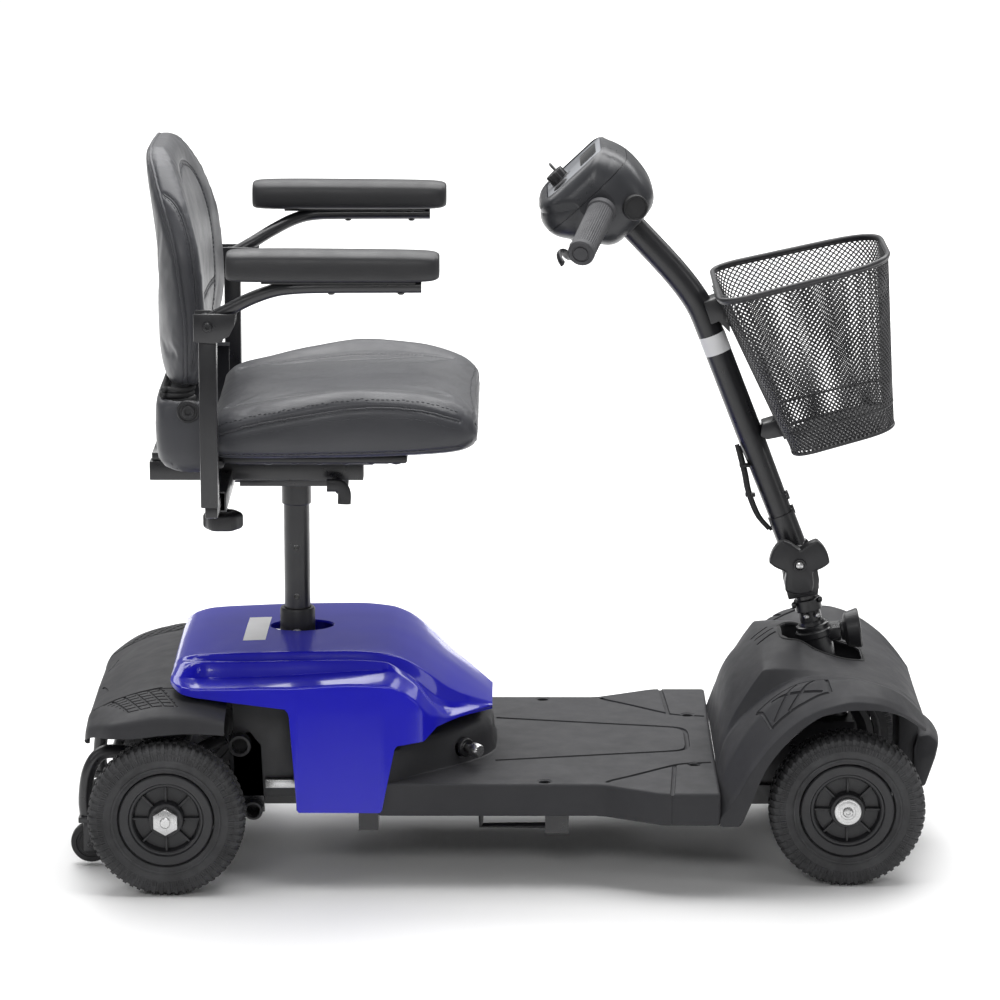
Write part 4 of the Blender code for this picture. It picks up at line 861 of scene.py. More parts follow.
def make_front_shroud():
    """The hood with its two fenders, its pressed panels, and the opening with a dark pan below it, painted
    shade that stands in for the shaded inside of the hood.
    """
    ease = np.linspace(0, 1, 110)
    rear_x, front_x = HOOD_TABLE[0][0], HOOD_TABLE[-1][0]
    xs = rear_x + (front_x - rear_x) * (0.35 * ease**2 + 0.65 * ease)
    sections = []
    for x, row in zip(xs, zip(*table_at(HOOD_TABLE, xs))):
        middle, crown, shoulder, foot, top, crease, lower, half = row
        flange = max(crease - 0.006, lower + 0.002)
        narrow = min(1.0, half / 0.23)
        line = (
            (x, 0.0, middle), (x, 0.06 * narrow, crown), (x, 0.128 * narrow, shoulder),
            (x, 0.1365 * narrow, min(foot, shoulder + 0.001)), (x, 0.148 * narrow, foot),
            (x, 0.196 * half / 0.256, top + 0.003 * narrow), (x, half - 0.014, crease),
            (x, half - 0.002, flange), (x, half, lower),
        )
        sections.append(filleted(line, (0.03, 0.0022, 0.0022, 0.003, 0.005, 0.0028, 0.0016), 4, 3))
    hood = sheet_solid(mirrored_rows(sections), PANEL_WALL)
    notch_half = (
        (0.356, 0.024), (0.364, 0.04), (0.385, 0.045), (0.43, 0.045), (0.454, 0.036), (0.46, 0.024)
    )
    notch = mirrored(notch_half)
    hood = boolean(hood, prism(notch, "XY", 0.16, 0.36))
    panel = (
        (0.316, 0.176), (0.364, 0.176), (0.402, 0.19), (0.406, 0.224), (0.374, 0.229), (0.332, 0.229)
    )
    strokes = []
    for (x, y), (after_x, after_y) in zip(panel, (*panel[1:], panel[0])):
        strokes.append(((x, y), ((x + after_x) / 2, (y + after_y) / 2), (after_x, after_y)))
    strokes.append(((0.336, 0.224), (0.35, 0.204), (0.366, 0.182)))
    strokes.append(((0.354, 0.226), (0.37, 0.208), (0.388, 0.188)))
    strokes.append(((0.334, 0.188), (0.362, 0.204), (0.396, 0.22)))
    slots = [
        ((0.318, 0.026), (0.328, 0.032), (0.34, 0.04)), ((0.322, 0.004), (0.334, 0.01), (0.347, 0.016)),
        ((0.324, -0.02), (0.336, -0.014), (0.349, -0.008)),
    ]
    hood = grooved(hood, strokes + [flip(line) for line in strokes] + slots, 0.0027)
    add_piece("front_shroud_skin", hood, PLASTIC, "chassis", "front_shroud", smooth=32)
    # the dark pan and its wall are painted shade: a dark liner that fills the view through the opening
    # where the inside of the hood lies in shade
    socket_hole = round_outline(40, lambda angle: 0.026, (0.409, 0.0))
    pan = boolean(prism(widened(notch, 1.12), "XY", 0.234, 0.2362), prism(socket_hole, "XY", 0.2, 0.3))
    tree = surface_of(hood)
    rim = [*notch, notch[0]]
    wall = [[], []]
    for x, y in widened(spline(rim, 4), 1.1):
        wall[0].append((x, y, 0.235))
        wall[1].append((x, y, max(drop_on(tree, x, y).z - 0.0034, 0.238)))
    pan = join(pan, sheet_solid(wall, 0.0012))
    add_piece("front_shroud_shade_pan", pan, TRIM_PLASTIC, "chassis")
    lip = []
    for x, y in widened(spline(rim, 6), 1.05):
        found = drop_on(tree, x, y)
        if found is not None and found.z > 0.18:
            lip.append(tuple(found))
    lip_mesh = pipe(even_path([*lip, lip[0]], 0.003)[:-1], 0.0016, 8)
    add_piece("front_shroud_collar", lip_mesh, SOFT_RUBBER, "chassis")


def make_front_bumper():
    """A block on the nose, slanted in front, with eased edges and a bracket behind."""
    reach = 0.052
    # how far the block's section is drawn in where it nears each end
    near_end, end, past_end = reach - 0.002, reach, reach + 0.0008
    middle_ys = np.linspace(-reach + 0.006, reach - 0.006, 23)
    rows = []
    for y in (-past_end, -end, -near_end, *middle_ys, near_end, end, past_end):
        front = 0.5645 - 0.0045 * (y / reach) ** 2
        trim = np.interp(abs(y), (near_end, end, past_end), (0.0003, 0.0014, 0.003))
        outline = (
            (-0.033, 0.143), (-0.028, 0.158), (-0.0125, 0.1605), (0, 0.149), (-0.004, 0.128),
            (-0.017, 0.089), (-0.03, 0.089), (-0.033, 0.12), (-0.033, 0.143),
        )
        corners = [(front + x, y, z) for x, z in outline]
        ring = filleted(corners, (0.003, 0.004, 0.008, 0.005, 0.004, 0.004, 0.003), 4, 1)[:-1]
        in_middle = abs(y) < reach - 0.003
        rows.append(drawn_in(ring, np.array((front - 0.017, y, 0.124)), 0.0 if in_middle else trim))
    bracket = box((0.508, -0.046, 0.098), (0.534, 0.046, 0.202), 0.002)
    add_piece(
        "front_bumper_bar", join(skin(rows), bracket), PLASTIC, "chassis", "front_bumper", smooth=30
    )


DECK_OUTLINE = ((0.268, 0.2555), (0.2, 0.2555), (0.19, 0.252), (0.124, 0.216), (0.112, 0.2135))
DECK_TOP = 0.139


def make_deck():
    """The floor tray with its grooves and screw holes."""
    deck = prism(mirrored([*DECK_OUTLINE, (-0.165, 0.2135)]), "XY", 0.096, DECK_TOP, 0.0042, 4)
    hollow = mirrored([(0.2645, 0.251), (0.2015, 0.251), (0.125, 0.2115), (-0.175, 0.209)])
    deck = boolean(deck, prism(hollow, "XY", 0.08, 0.1352))
    half_loop = (
        (-0.016, -0.1035), (0.06, -0.0885), (0.14, -0.073), (0.205, -0.0605), (0.226, -0.053),
        (0.2335, -0.038), (0.2345, 0.0),
    )
    loop = at_height(carried_over(half_loop), DECK_TOP)
    cuts = [groove_cutter(loop, 0.0034)]
    wing = ((0.126, 0.206), (0.132, 0.196), (0.16, 0.173), (0.205, 0.133), (0.226, 0.119), (0.262, 0.112))
    seam = ((0.214, 0.127), (0.211, 0.19), (0.207, 0.262))
    flank = [(0.207, 0.2565, z) for z in (0.141, 0.118, 0.094)]
    screw_hole = (
        (0, 0.12), (0.0075, 0.12), (0.0075, 0.1375), (0.01, 0.1388), (0.0104, 0.145), (0, 0.145)
    )
    for sign in (LEFT, RIGHT):
        cuts.append(groove_cutter([(x, sign * y, DECK_TOP) for x, y in wing], 0.0032))
        cuts.append(groove_cutter([(x, sign * y, DECK_TOP) for x, y in seam], 0.003))
        cuts.append(pipe(even_path([(x, sign * y, z) for x, y, z in flank], 0.006), 0.0016, 8))
        for x, y in ((0.047, 0.2), (0.24, 0.12)):
            cuts.append(lathe(screw_hole, (x, sign * y, 0), UP, 24))
    cuts.append(box((-0.2, -0.186, 0.05), (-0.128, 0.186, 0.25)))
    for cutter in cuts:
        deck = boolean(deck, cutter)
    add_piece("deck_floor", deck, PLASTIC, "chassis", "deck_panel", smooth=30)


def make_riser():
    """The wall behind the floor, with a pocket for the release plunger."""
    riser_plan = (
        (-0.011, 0.0), (-0.0125, 0.05), (-0.023, 0.08), (-0.051, 0.116), (-0.148, 0.2065), (-0.163, 0.209)
    )
    levels = (
        (0.1385, 0.0), (0.14, 0.003), (0.146, 0.0052), (0.166, 0.0075), (0.176, 0.01), (0.183, 0.016),
        (0.188, 0.027), (0.19, 0.048),
    )
    line = filleted(at_height(riser_plan, 0.0), (0.01, 0.02, 0.02, 0.02), 5, 2)
    rows = []
    for height, inset in levels:
        ring = drawn_in(line, np.array((-0.16, 0.0, 0.0)), inset)
        ring[:, 2] = height
        if height > 0.17:
            ring[:, 2] = np.minimum(height, 0.1775 + (ring[:, 0] + 0.165) * 0.13)
        ring[-1, 0] = -0.163
        rows.append(ring)
    riser = sheet_solid(mirrored_rows(rows), 0.0022)
    pocket = lathe(
        ((0, -0.006), (0.012, -0.005), (0.017, 0.002), (0.024, 0.02), (0, 0.02)),
        (-0.056, -0.114, 0.16),
        (1, -1, 0),
        32,
    )
    riser = boolean(riser, pocket)
    add_piece("deck_riser", riser, PLASTIC, "chassis", smooth=30)


SHROUD_TABLE = (
    # x, middle, plateau edge (y, z), groove floor (y, z), groove lip (y, z), ridge (y, z), side (y, z)
    (-0.4285, 0.272, 0.116, 0.27, 0.128, 0.269, 0.14, 0.268, 0.158, 0.265, 0.169, 0.261),
    (-0.424, 0.2805, 0.128, 0.278, 0.138, 0.2765, 0.148, 0.2755, 0.172, 0.269, 0.184, 0.26),
    (-0.412, 0.289, 0.139, 0.2862, 0.147, 0.2835, 0.156, 0.2825, 0.19, 0.271, 0.203, 0.257),
    (-0.39, 0.294, 0.146, 0.2905, 0.151, 0.2845, 0.162, 0.285, 0.2, 0.272, 0.213, 0.254),
    (-0.34, 0.2965, 0.1485, 0.293, 0.1535, 0.284, 0.165, 0.286, 0.205, 0.2735, 0.2165, 0.256),
    (-0.28, 0.298, 0.1495, 0.295, 0.1545, 0.285, 0.167, 0.288, 0.206, 0.2765, 0.217, 0.256),
    (-0.2, 0.299, 0.15, 0.296, 0.155, 0.2855, 0.168, 0.2895, 0.206, 0.2815, 0.2175, 0.26),
    (-0.156, 0.2965, 0.149, 0.2925, 0.155, 0.281, 0.168, 0.287, 0.204, 0.283, 0.2175, 0.258),
    (-0.135, 0.291, 0.147, 0.286, 0.154, 0.271, 0.168, 0.276, 0.201, 0.277, 0.217, 0.25),
    (-0.115, 0.281, 0.142, 0.2745, 0.15, 0.256, 0.164, 0.257, 0.1965, 0.262, 0.213, 0.235),
    (-0.095, 0.266, 0.134, 0.258, 0.142, 0.237, 0.153, 0.23, 0.18, 0.232, 0.196, 0.213),
    (-0.075, 0.2495, 0.121, 0.2405, 0.128, 0.225, 0.136, 0.217, 0.153, 0.212, 0.163, 0.208),
    (-0.05, 0.23, 0.098, 0.224, 0.103, 0.216, 0.108, 0.212, 0.118, 0.208, 0.123, 0.2055),
    (-0.02, 0.2055, 0.058, 0.2045, 0.062, 0.2035, 0.066, 0.2025, 0.069, 0.2015, 0.071, 0.2005),
)
SHROUD_EDGE = (
    # x, height of the lower edge
    (-0.4285, 0.258),
    (-0.412, 0.251),
    (-0.39, 0.2465),
    (-0.34, 0.2405),
    (-0.282, 0.2335),
    (-0.278, 0.229),
    (-0.2765, 0.224),
    (-0.2665, 0.105),
    (-0.2645, 0.102),
    (-0.162, 0.102),
    (-0.1595, 0.105),
    (-0.143, 0.183),
    (-0.14, 0.187),
    (-0.12, 0.1895),
    (-0.106, 0.19),
    (-0.09, 0.203),
    (-0.05, 0.2025),
    (-0.02, 0.1985),
)


def make_battery_shroud():
    """The blue cover with its raised top, groove, ridge, oval opening and blank label."""
    corners = np.array(SHROUD_EDGE)
    even = np.linspace(corners[0, 0], corners[-1, 0], 110)
    xs = np.unique(np.round(np.concatenate([even, corners[:, 0]]), 5))
    edge = np.interp(xs, corners[:, 0], corners[:, 1])
    sections = []
    for x, low, row in zip(xs, edge, zip(*table_at(SHROUD_TABLE, xs))):
        middle, y1, z1, yg, zg, y2, z2, y3, z3, y4, z4 = row
        inset = 0.02 * min(1.0, y1 / 0.14)
        drop = 0.26 * inset
        middle, z1, zg, z2 = middle - drop, z1 - drop, zg - drop, z2 - drop
        y1, yg, y2 = y1 - inset, yg - inset, y2 - inset
        share = np.interp(x, (-0.4285, -0.385, -0.16, -0.09), (0.1, 1, 1, 0.25))
        edge_share = np.interp(x, (-0.4285, -0.385), (0.3, 1))
        y3, z3 = y3 - 0.05 * share, z3 - 0.0115 * share
        y4, z4 = y4 - 0.018 * edge_share, z4 + 0.005 * edge_share
        side = min(z4, z3 - 0.002)
        bottom = min(low, side - 0.002)
        y5 = y4 + 0.0005 + 0.018 * min(1.0, (side - bottom) / 0.15)
        line = (
            (x, 0.0, middle), (x, 0.5 * y1, middle - 0.3 * (middle - z1)), (x, y1, z1), (x, yg, zg),
            (x, y2, z2), (x, y3, z3), (x, y4, side), (x, (y4 + y5) / 2, 0.5 * (side + bottom)),
            (x, y5, bottom),
        )
        sections.append(filleted(line, (0.02, 0.0022, 0.0018, 0.003, 0.003, 0.0035, 0.004), 5, 2))
    skin_mesh = sheet_solid(mirrored_rows(sections), PANEL_WALL)
    oval = round_outline(48, lambda angle: 0.042, (-0.268, 0.0), 0.031 / 0.042)
    skin_mesh = boolean(skin_mesh, prism(oval, "XY", 0.25, 0.33))
    add_piece("battery_shroud_skin", skin_mesh, BLUE, "chassis", "battery_shroud", smooth=40)
    tree = surface_of(skin_mesh)
    label = []
    for x in np.linspace(-0.34, -0.311, 6):
        row = []
        for y in np.linspace(-0.072, 0.046, 16):
            row.append((x + y * 0.02, y, drop_on(tree, x + y * 0.02, y).z + 0.0003))
        label.append(row)
    sticker = sheet_solid(label, 0.0002)
    add_piece("shroud_label", sticker, LABEL, "chassis", smooth=30)


COVER_TABLE = (
    # x, middle, shoulder, side top, half width, lower edge
    (-0.535, 0.186, 0.186, 0.186, 0.17, 0.182),
    (-0.537, 0.2, 0.199, 0.197, 0.18, 0.187),
    (-0.533, 0.213, 0.21, 0.206, 0.194, 0.193),
    (-0.52, 0.224, 0.22, 0.215, 0.212, 0.199),
    (-0.497, 0.238, 0.234, 0.224, 0.238, 0.204),
    (-0.466, 0.25, 0.246, 0.232, 0.246, 0.207),
    (-0.436, 0.258, 0.252, 0.237, 0.247, 0.211),
    (-0.405, 0.26, 0.254, 0.236, 0.246, 0.213),
    (-0.38, 0.26, 0.253, 0.233, 0.244, 0.212),
    (-0.356, 0.258, 0.251, 0.228, 0.242, 0.21),
)


def make_rear_cover():
    """The rear cover over the wheels with a pressed pattern."""
    ease = np.linspace(0, 1, 60)
    order = np.linspace(0, 1, len(COVER_TABLE))
    table = np.array(COVER_TABLE)
    columns = [monotone(order, table[:, column], ease) for column in range(table.shape[1])]
    sections = []
    for x, middle, shoulder, side, half, lower in zip(*columns):
        line = (
            (x, 0.0, middle), (x, 0.11, shoulder), (x, max(half - 0.052, 0.115), side + 0.006),
            (x, half - 0.006, side - 0.002), (x, half - 0.001, side - 0.008), (x, half, lower),
        )
        sections.append(filleted(line, (0.03, 0.012, 0.006, 0.004), 4, 3))
    cover = sheet_solid(mirrored_rows(sections), PANEL_WALL)
    lines = []
    for row in range(7):
        y = 0.148 + 0.0105 * row
        lines.append(((-0.516 + 0.006 * row, y), (-0.48 + 0.006 * row, y), (-0.44 + 0.004 * row, y)))
    for row in range(5):
        x = -0.504 + 0.015 * row
        lines.append(((x, 0.15), (x + 0.012, 0.18), (x + 0.026, 0.213)))
    lines.append(((-0.526, 0.04), (-0.52, 0.06), (-0.516, 0.08)))
    lines.append(((-0.537, 0.11), (-0.532, 0.13), (-0.527, 0.15)))
    lines.append(((-0.53, 0.14), (-0.47, 0.15), (-0.38, 0.154)))
    cover = grooved(cover, lines + [flip(line) for line in lines], 0.0018)
    add_piece("rear_cover_skin", cover, PLASTIC, "chassis", "rear_cover", smooth=32)


make_front_shroud()
make_front_bumper()
make_deck()
make_riser()
make_battery_shroud()
make_rear_cover()

# ================================================================ upholstery
PUFF_PRESSURE = 4.0
PUFF_FRAMES = 20
PUFF_VOXEL = 0.0055
# surface points nearer than this to a seam stay in place while the cushion puffs
SEAM_HOLD = 0.0045
SEAM_STEP = 0.004


def points_of(mesh):
    """The points of a mesh as rows of numbers."""
    points = np.zeros(len(mesh.vertices) * 3)
    mesh.vertices.foreach_get("co", points)
    return points.reshape(-1, 3)


def inflate(mesh, pinned, cap):
    """Puff a closed shape by cloth pressure. pinned gives the points that stay, cap the longest move."""
    obj = bpy.data.objects.new("puff", mesh)
    bpy.context.scene.collection.objects.link(obj)
    remesh = obj.modifiers.new("remesh", "REMESH")
    remesh.mode = "VOXEL"
    remesh.voxel_size = PUFF_VOXEL
    base = evaluated(obj)
    obj.modifiers.clear()
    obj.data = base
    start = points_of(base)
    group = obj.vertex_groups.new(name="held")
    held = pinned(start)
    for index in np.nonzero(held > 0)[0]:
        group.add([int(index)], float(held[index]), "REPLACE")
    cloth = obj.modifiers.new("cloth", "CLOTH")
    cloth.settings.use_pressure = True
    cloth.settings.uniform_pressure_force = PUFF_PRESSURE
    cloth.settings.effector_weights.gravity = 0.0
    cloth.settings.quality = 5
    cloth.settings.mass = 0.3
    cloth.settings.tension_stiffness = 18.0
    cloth.settings.bending_stiffness = 1.2
    cloth.settings.vertex_group_mass = "held"
    cloth.point_cache.frame_start = 1
    cloth.point_cache.frame_end = PUFF_FRAMES
    scene = bpy.context.scene
    for step in range(1, PUFF_FRAMES + 1):
        scene.frame_set(step)
    result = evaluated(obj)
    scene.frame_set(1)
    bpy.data.objects.remove(obj, do_unlink=True)
    moved = points_of(result) - start
    length = np.linalg.norm(moved, axis=1, keepdims=True)
    limited = start + moved * np.minimum(1.0, cap / np.maximum(length, 1e-9))
    result.vertices.foreach_set("co", limited.ravel())
    return result


def distance_to(points, lines):
    """The distance from each point to the nearest of some densely sampled lines."""
    line = np.concatenate([np.asarray(part, float) for part in lines])
    best = np.full(len(points), 1e9)
    for chunk in range(0, len(line), 64):
        gaps = points[:, None, :] - line[None, chunk : chunk + 64, :]
        best = np.minimum(best, np.sqrt((gaps**2).sum(axis=2)).min(axis=1))
    return best


def pressed_seams(mesh, lines, width, depth):
    """Draw the surface in along its seams."""
    points = points_of(mesh)
    normals = np.zeros(len(points) * 3)
    mesh.vertices.foreach_get("normal", normals)
    near = np.clip(1 - distance_to(points, lines) / width, 0, 1)
    points -= normals.reshape(-1, 3) * (near**2 * (3 - 2 * near) * depth)[:, None]
    mesh.vertices.foreach_set("co", points.ravel())
    mesh.update()
    return mesh


def laid_on(tree, line):
    """Even points along a line, each moved to the nearest spot of a surface."""
    return [tuple(tree.find_nearest(Vector(point))[0]) for point in even_path(line, SEAM_STEP)]


def stitches(tree, line, offset, pitch=0.0062, length=0.004, radius=0.00055):
    """A row of sewn stitches beside a line, lying on the surface."""
    path = even_path(line, pitch)
    made = []
    middle = length / 2
    for before, point, after in zip(path, path[1:], path[2:]):
        found, normal, _, _ = tree.find_nearest(Vector(point))
        if found is None:
            continue
        along = Vector(after - before).normalized()
        side = along.cross(normal)
        spot, facing, _, _ = tree.find_nearest(Vector(point) + side * offset)
        base = spot + facing * (radius * 0.4)
        ends = [base - along * middle, base, base + along * middle]
        made.append(pipe([tuple(end) for end in ends], radius, 5, (0.55, 1.0, 0.55)))
    return join(*made)


def whole_ring(half):
    """A ring from its half at +Y, whose first and last points lie in the middle."""
    return np.concatenate([half, half[1:-1][::-1] * np.array((1.0, -1.0, 1.0))])


def seat_sections():
    """Rings of the seat cushion from its back to its nose."""
    table = (
        # x, bottom, top at the middle, crest of the bolster, half width
        (-0.374, 0.556, 0.594, 0.596, 0.188),
        (-0.36, 0.552, 0.604, 0.607, 0.198),
        (-0.32, 0.552, 0.611, 0.618, 0.203),
        (-0.26, 0.553, 0.615, 0.632, 0.205),
        (-0.19, 0.554, 0.618, 0.642, 0.205),
        (-0.12, 0.556, 0.62, 0.637, 0.203),
        (-0.07, 0.559, 0.619, 0.624, 0.198),
        (-0.048, 0.563, 0.612, 0.613, 0.19),
        (-0.038, 0.57, 0.601, 0.602, 0.178),
    )
    xs = np.linspace(-0.374, -0.038, 60)
    rows = []
    for x, low, middle, crest, half in zip(xs, *table_at(table, xs)):
        line = (
            (x, 0.0, low), (x, half - 0.022, low), (x, half - 0.003, low + 0.01),
            (x, half, (low + crest) / 2 - 0.004), (x, half - 0.004, crest - 0.014),
            (x, half - 0.022, crest - 0.001), (x, half - 0.06, crest - 0.35 * (crest - middle)),
            (x, half - 0.12, middle), (x, 0.0, middle),
        )
        half_ring = filleted(line, (0.01, 0.01, 0.02, 0.012, 0.015, 0.03, 0.03), 4, 1)
        rows.append(whole_ring(half_ring))
    return rows


def sideways(tree, line, sign):
    """A line of (x, z) points laid on the side of a shape."""
    path = spline([(x, 0.0, z) for x, z in line], 10)
    return on_surface(tree, [(x, sign * 0.1, z) for x, _, z in path[::5]], 5, (0, -sign, 0))


def make_seat_cushion():
    """The puffed seat cushion with its welts and stitch rows."""
    base = skin(seat_sections())
    tree = surface_of(base)
    top_edge = (
        (-0.366, 0.585), (-0.32, 0.599), (-0.25, 0.612), (-0.18, 0.6215), (-0.11, 0.618), (-0.06, 0.604)
    )
    lower_edge = ((-0.368, 0.5585), (-0.3, 0.559), (-0.2, 0.5615), (-0.11, 0.564), (-0.06, 0.568))
    seams = []
    for sign in (LEFT, RIGHT):
        seams.append(sideways(tree, top_edge, sign))
        seams.append(sideways(tree, lower_edge, sign))
    nose_top = [(0.0, y, 0.602 - 0.006 * (y / 0.16) ** 2) for y in np.linspace(-0.168, 0.168, 9)]
    nose_low = [(0.0, y, 0.572) for y in np.linspace(-0.165, 0.165, 9)]
    seams.append(on_surface(tree, nose_top, 6, (-1, 0, 0)))
    seams.append(on_surface(tree, nose_low, 6, (-1, 0, 0)))
    channel = []
    for sign in (LEFT, RIGHT):
        line = [(x, sign * 0.128, 0) for x in np.linspace(-0.352, -0.075, 9)]
        channel.append(on_surface(tree, line, 6))

    def held(points):
        near = distance_to(points, seams + channel) < SEAM_HOLD
        under = points[:, 2] < 0.5575
        return np.where(near | under, 1.0, 0.0)

    puffed = inflate(base, held, 0.01)
    puffed = subdivided(puffed, 1)
    puffed = pressed_seams(puffed, seams, 0.006, 0.0022)
    puffed = pressed_seams(puffed, channel, 0.006, 0.0016)
    cushion = add_piece("seat_cushion_cover", puffed, VINYL, "seat", "seat_cushion", smooth=60)
    tree = surface_of(puffed)
    welts = []
    rows = []
    for index, seam in enumerate(seams):
        laid = laid_on(tree, seam)
        welts.append(pipe(laid, 0.0013, 8))
        is_upper = index % 2 == 0
        if is_upper:
            for offset in (-0.0125, 0.0125):
                rows.append(stitches(tree, laid, offset))
    for line in channel:
        laid = laid_on(tree, line)
        rows.append(stitches(tree, laid, 0.0025, 0.005, 0.0034, 0.0004))
    add_piece("seat_cushion_welts", join(*welts), VINYL, "seat", smooth=60)
    add_piece("seat_cushion_stitches", join(*rows), THREAD, "seat", smooth=60)


BACK_TABLE = (
    # height, back, front, half width, how far the sides bow forward
    (0.642, -0.431, -0.398, 0.168, 0.01),
    (0.646, -0.434, -0.395, 0.18, 0.012),
    (0.667, -0.436, -0.394, 0.192, 0.014),
    (0.72, -0.437, -0.39, 0.203, 0.017),
    (0.8, -0.441, -0.394, 0.198, 0.016),
    (0.866, -0.449, -0.406, 0.172, 0.01),
    (0.902, -0.455, -0.418, 0.134, 0.006),
    (0.922, -0.457, -0.426, 0.098, 0.003),
    (0.93, -0.4545, -0.433, 0.07, 0.002),
)
PIPING = (
    # height, x, y from the foot of one side up to the middle of the top
    (0.646, -0.402, 0.181),
    (0.664, -0.401, 0.192),
    (0.721, -0.4, 0.2035),
    (0.76, -0.404, 0.2025),
    (0.821, -0.414, 0.193),
    (0.866, -0.428, 0.172),
    (0.902, -0.441, 0.134),
    (0.922, -0.449, 0.098),
    (0.9305, -0.451, 0.06),
    (0.9315, -0.452, 0.0),
)


def make_backrest():
    """The puffed backrest with its piping, stitch rows and the bellows at its foot."""
    heights = np.concatenate([np.linspace(0.642, 0.9, 44), np.linspace(0.905, 0.93, 10)])
    rows = []
    for z, back, front, half, bow in zip(heights, *table_at(BACK_TABLE, heights)):
        line = (
            (back, 0.0, z), (back, 0.55 * half, z), (back + 0.55 * bow, 0.82 * half, z),
            (back + bow + 0.004, 0.965 * half, z), (back + bow + 0.018, half, z),
            (front + bow, 0.965 * half, z), (front + 0.6 * bow, 0.84 * half, z),
            (front + 0.1 * bow, 0.5 * half, z), (front, 0.0, z),
        )
        half_ring = filleted(line, (0.03, 0.03, 0.012, 0.012, 0.012, 0.02, 0.03), 4, 1)
        rows.append(whole_ring(half_ring))
    base = skin(rows)
    tree = surface_of(base)
    half_piping = [(x, y, z) for z, x, y in PIPING]
    piping = laid_on(tree, spline(carried_over(half_piping), 8))
    inset = (
        (0.0, 0.118, 0.672), (0.0, 0.132, 0.74), (0.0, 0.13, 0.8), (0.0, 0.112, 0.852),
        (0.0, 0.075, 0.884), (0.0, 0.03, 0.896), (0.0, 0.0, 0.898),
    )
    front_panel = on_surface(tree, carried_over(inset), 8, (-1, 0, 0))
    wings = []
    for sign in (LEFT, RIGHT):
        line = (
            (-0.3925, 0.668), (-0.385, 0.72), (-0.387, 0.78), (-0.396, 0.836), (-0.412, 0.872),
            (-0.428, 0.884),
        )
        wings.append(sideways(tree, line, sign))
    lumbar = on_surface(tree, [(0.0, y, 0.728) for y in np.linspace(-0.128, 0.128, 9)], 6, (-1, 0, 0))
    seams = [piping, front_panel, *wings, lumbar]

    def held(points):
        near = distance_to(points, seams) < SEAM_HOLD
        behind = points[:, 0] < -0.438
        return np.where(near | behind, 1.0, 0.0)

    puffed = inflate(base, held, 0.008)
    puffed = subdivided(puffed, 1)
    puffed = pressed_seams(puffed, seams, 0.006, 0.002)
    back = add_piece(
        "backrest_cover", puffed, VINYL, "backrest", "backrest_cushion", "backrest_shell", smooth=60
    )
    tree = surface_of(puffed)
    welts = []
    rows = []
    for index, seam in enumerate(seams):
        laid = laid_on(tree, seam)
        welts.append(pipe(laid, 0.0024 if index == 0 else 0.001, 8))
        if index:
            rows.append(stitches(tree, laid, 0.0035))
            rows.append(stitches(tree, laid, -0.0035))
    add_piece("backrest_welts", join(*welts), VINYL, "backrest", smooth=60)
    add_piece("backrest_stitches", join(*rows), THREAD, "backrest", smooth=60)
    bellows = []
    for z, grow in ((0.6405, 0.0), (0.634, 0.0015), (0.6275, 0.0)):
        ring = []
        for x, y in ((-0.394, 0.16), (-0.4, 0.176), (-0.412, 0.184), (-0.424, 0.178), (-0.431, 0.15)):
            ring.append((x - grow, y + grow, z))
        bellows.append(pipe(spline(mirrored(ring), 6), 0.004, 10))
    add_piece("backrest_bellows", join(*bellows), SOFT_RUBBER, "backrest", smooth=60)


SKIRT_LEVELS = (
    # height, how far the skirt is drawn in
    (0.6255, 0.004),
    (0.624, 0.001),
    (0.62, 0.0),
    (0.596, -0.001),
    (0.568, 0.0),
    (0.555, 0.002),
    (0.547, 0.007),
    (0.5425, 0.014),
)


def make_seat_tray():
    """The ribbed tray under the seat."""
    tray = box((-0.366, -0.176, 0.545), (-0.126, 0.176, 0.556), 0.004, 3)
    ribs = [tray]
    for x in np.linspace(-0.3, -0.14, 6):
        ribs.append(
            lathe(
                ((0, -0.172), (0.012, -0.172), (0.013, -0.17), (0.013, 0.17), (0.012, 0.172), (0, 0.172)),
                (x, 0, 0.556),
                ACROSS,
                24,
            )
        )
    ribs.append(box((-0.35, -0.15, 0.5395), (-0.15, -0.144, 0.547), 0.001))
    ribs.append(box((-0.35, 0.144, 0.5395), (-0.15, 0.15, 0.547), 0.001))
    ribs.append(box((-0.345, -0.088, 0.5242), (-0.17, 0.088, 0.5465), 0.003))
    ribs.append(box((-0.42, -0.19, 0.5415), (-0.355, 0.19, 0.552), 0.004))
    add_piece("seat_tray", join(*ribs), TRIM_PLASTIC, "seat", "seat_pan")


def make_seat_skirt():
    """The padded skirt that wraps the back of the seat from hinge to hinge, and the hinge bosses."""
    plan = filleted(
        ((-0.372, 0.203, 0), (-0.41, 0.203, 0), (-0.4345, 0.19, 0), (-0.438, 0.12, 0), (-0.438, 0.0, 0)),
        (0.02, 0.02, 0.02),
        6,
        4,
    )
    rows = []
    for z, inset in SKIRT_LEVELS:
        ring = []
        for x, y, _ in carried_over(plan):
            ring.append((x + inset * (1 if x < -0.42 else 0.3), y * (1 - inset / 0.21), z))
        rows.append(ring)
    wrap = sheet_solid(rows, 0.005)
    skirt = add_piece("seat_back_skirt", wrap, VINYL, "seat", smooth=50)
    bosses = []
    for sign in (LEFT, RIGHT):
        centre = (-0.3975, sign * 0.2075, 0.6185)
        axis = (0, sign, 0)
        bosses.append(
            lathe(
                (
                    (0, -0.004), (0.0145, -0.004), (0.0145, 0.002), (0.0135, 0.0032), (0.0118, 0.0032),
                    (0.0112, 0.0018), (0.0085, 0.0018), (0.008, 0.0042), (0.007, 0.005), (0.0042, 0.005),
                    (0.0038, 0.003), (0, 0.003),
                ),
                centre,
                axis,
                32,
            )
        )
    add_piece("seat_hinge_bosses", join(*bosses), TRIM_PLASTIC, "seat")


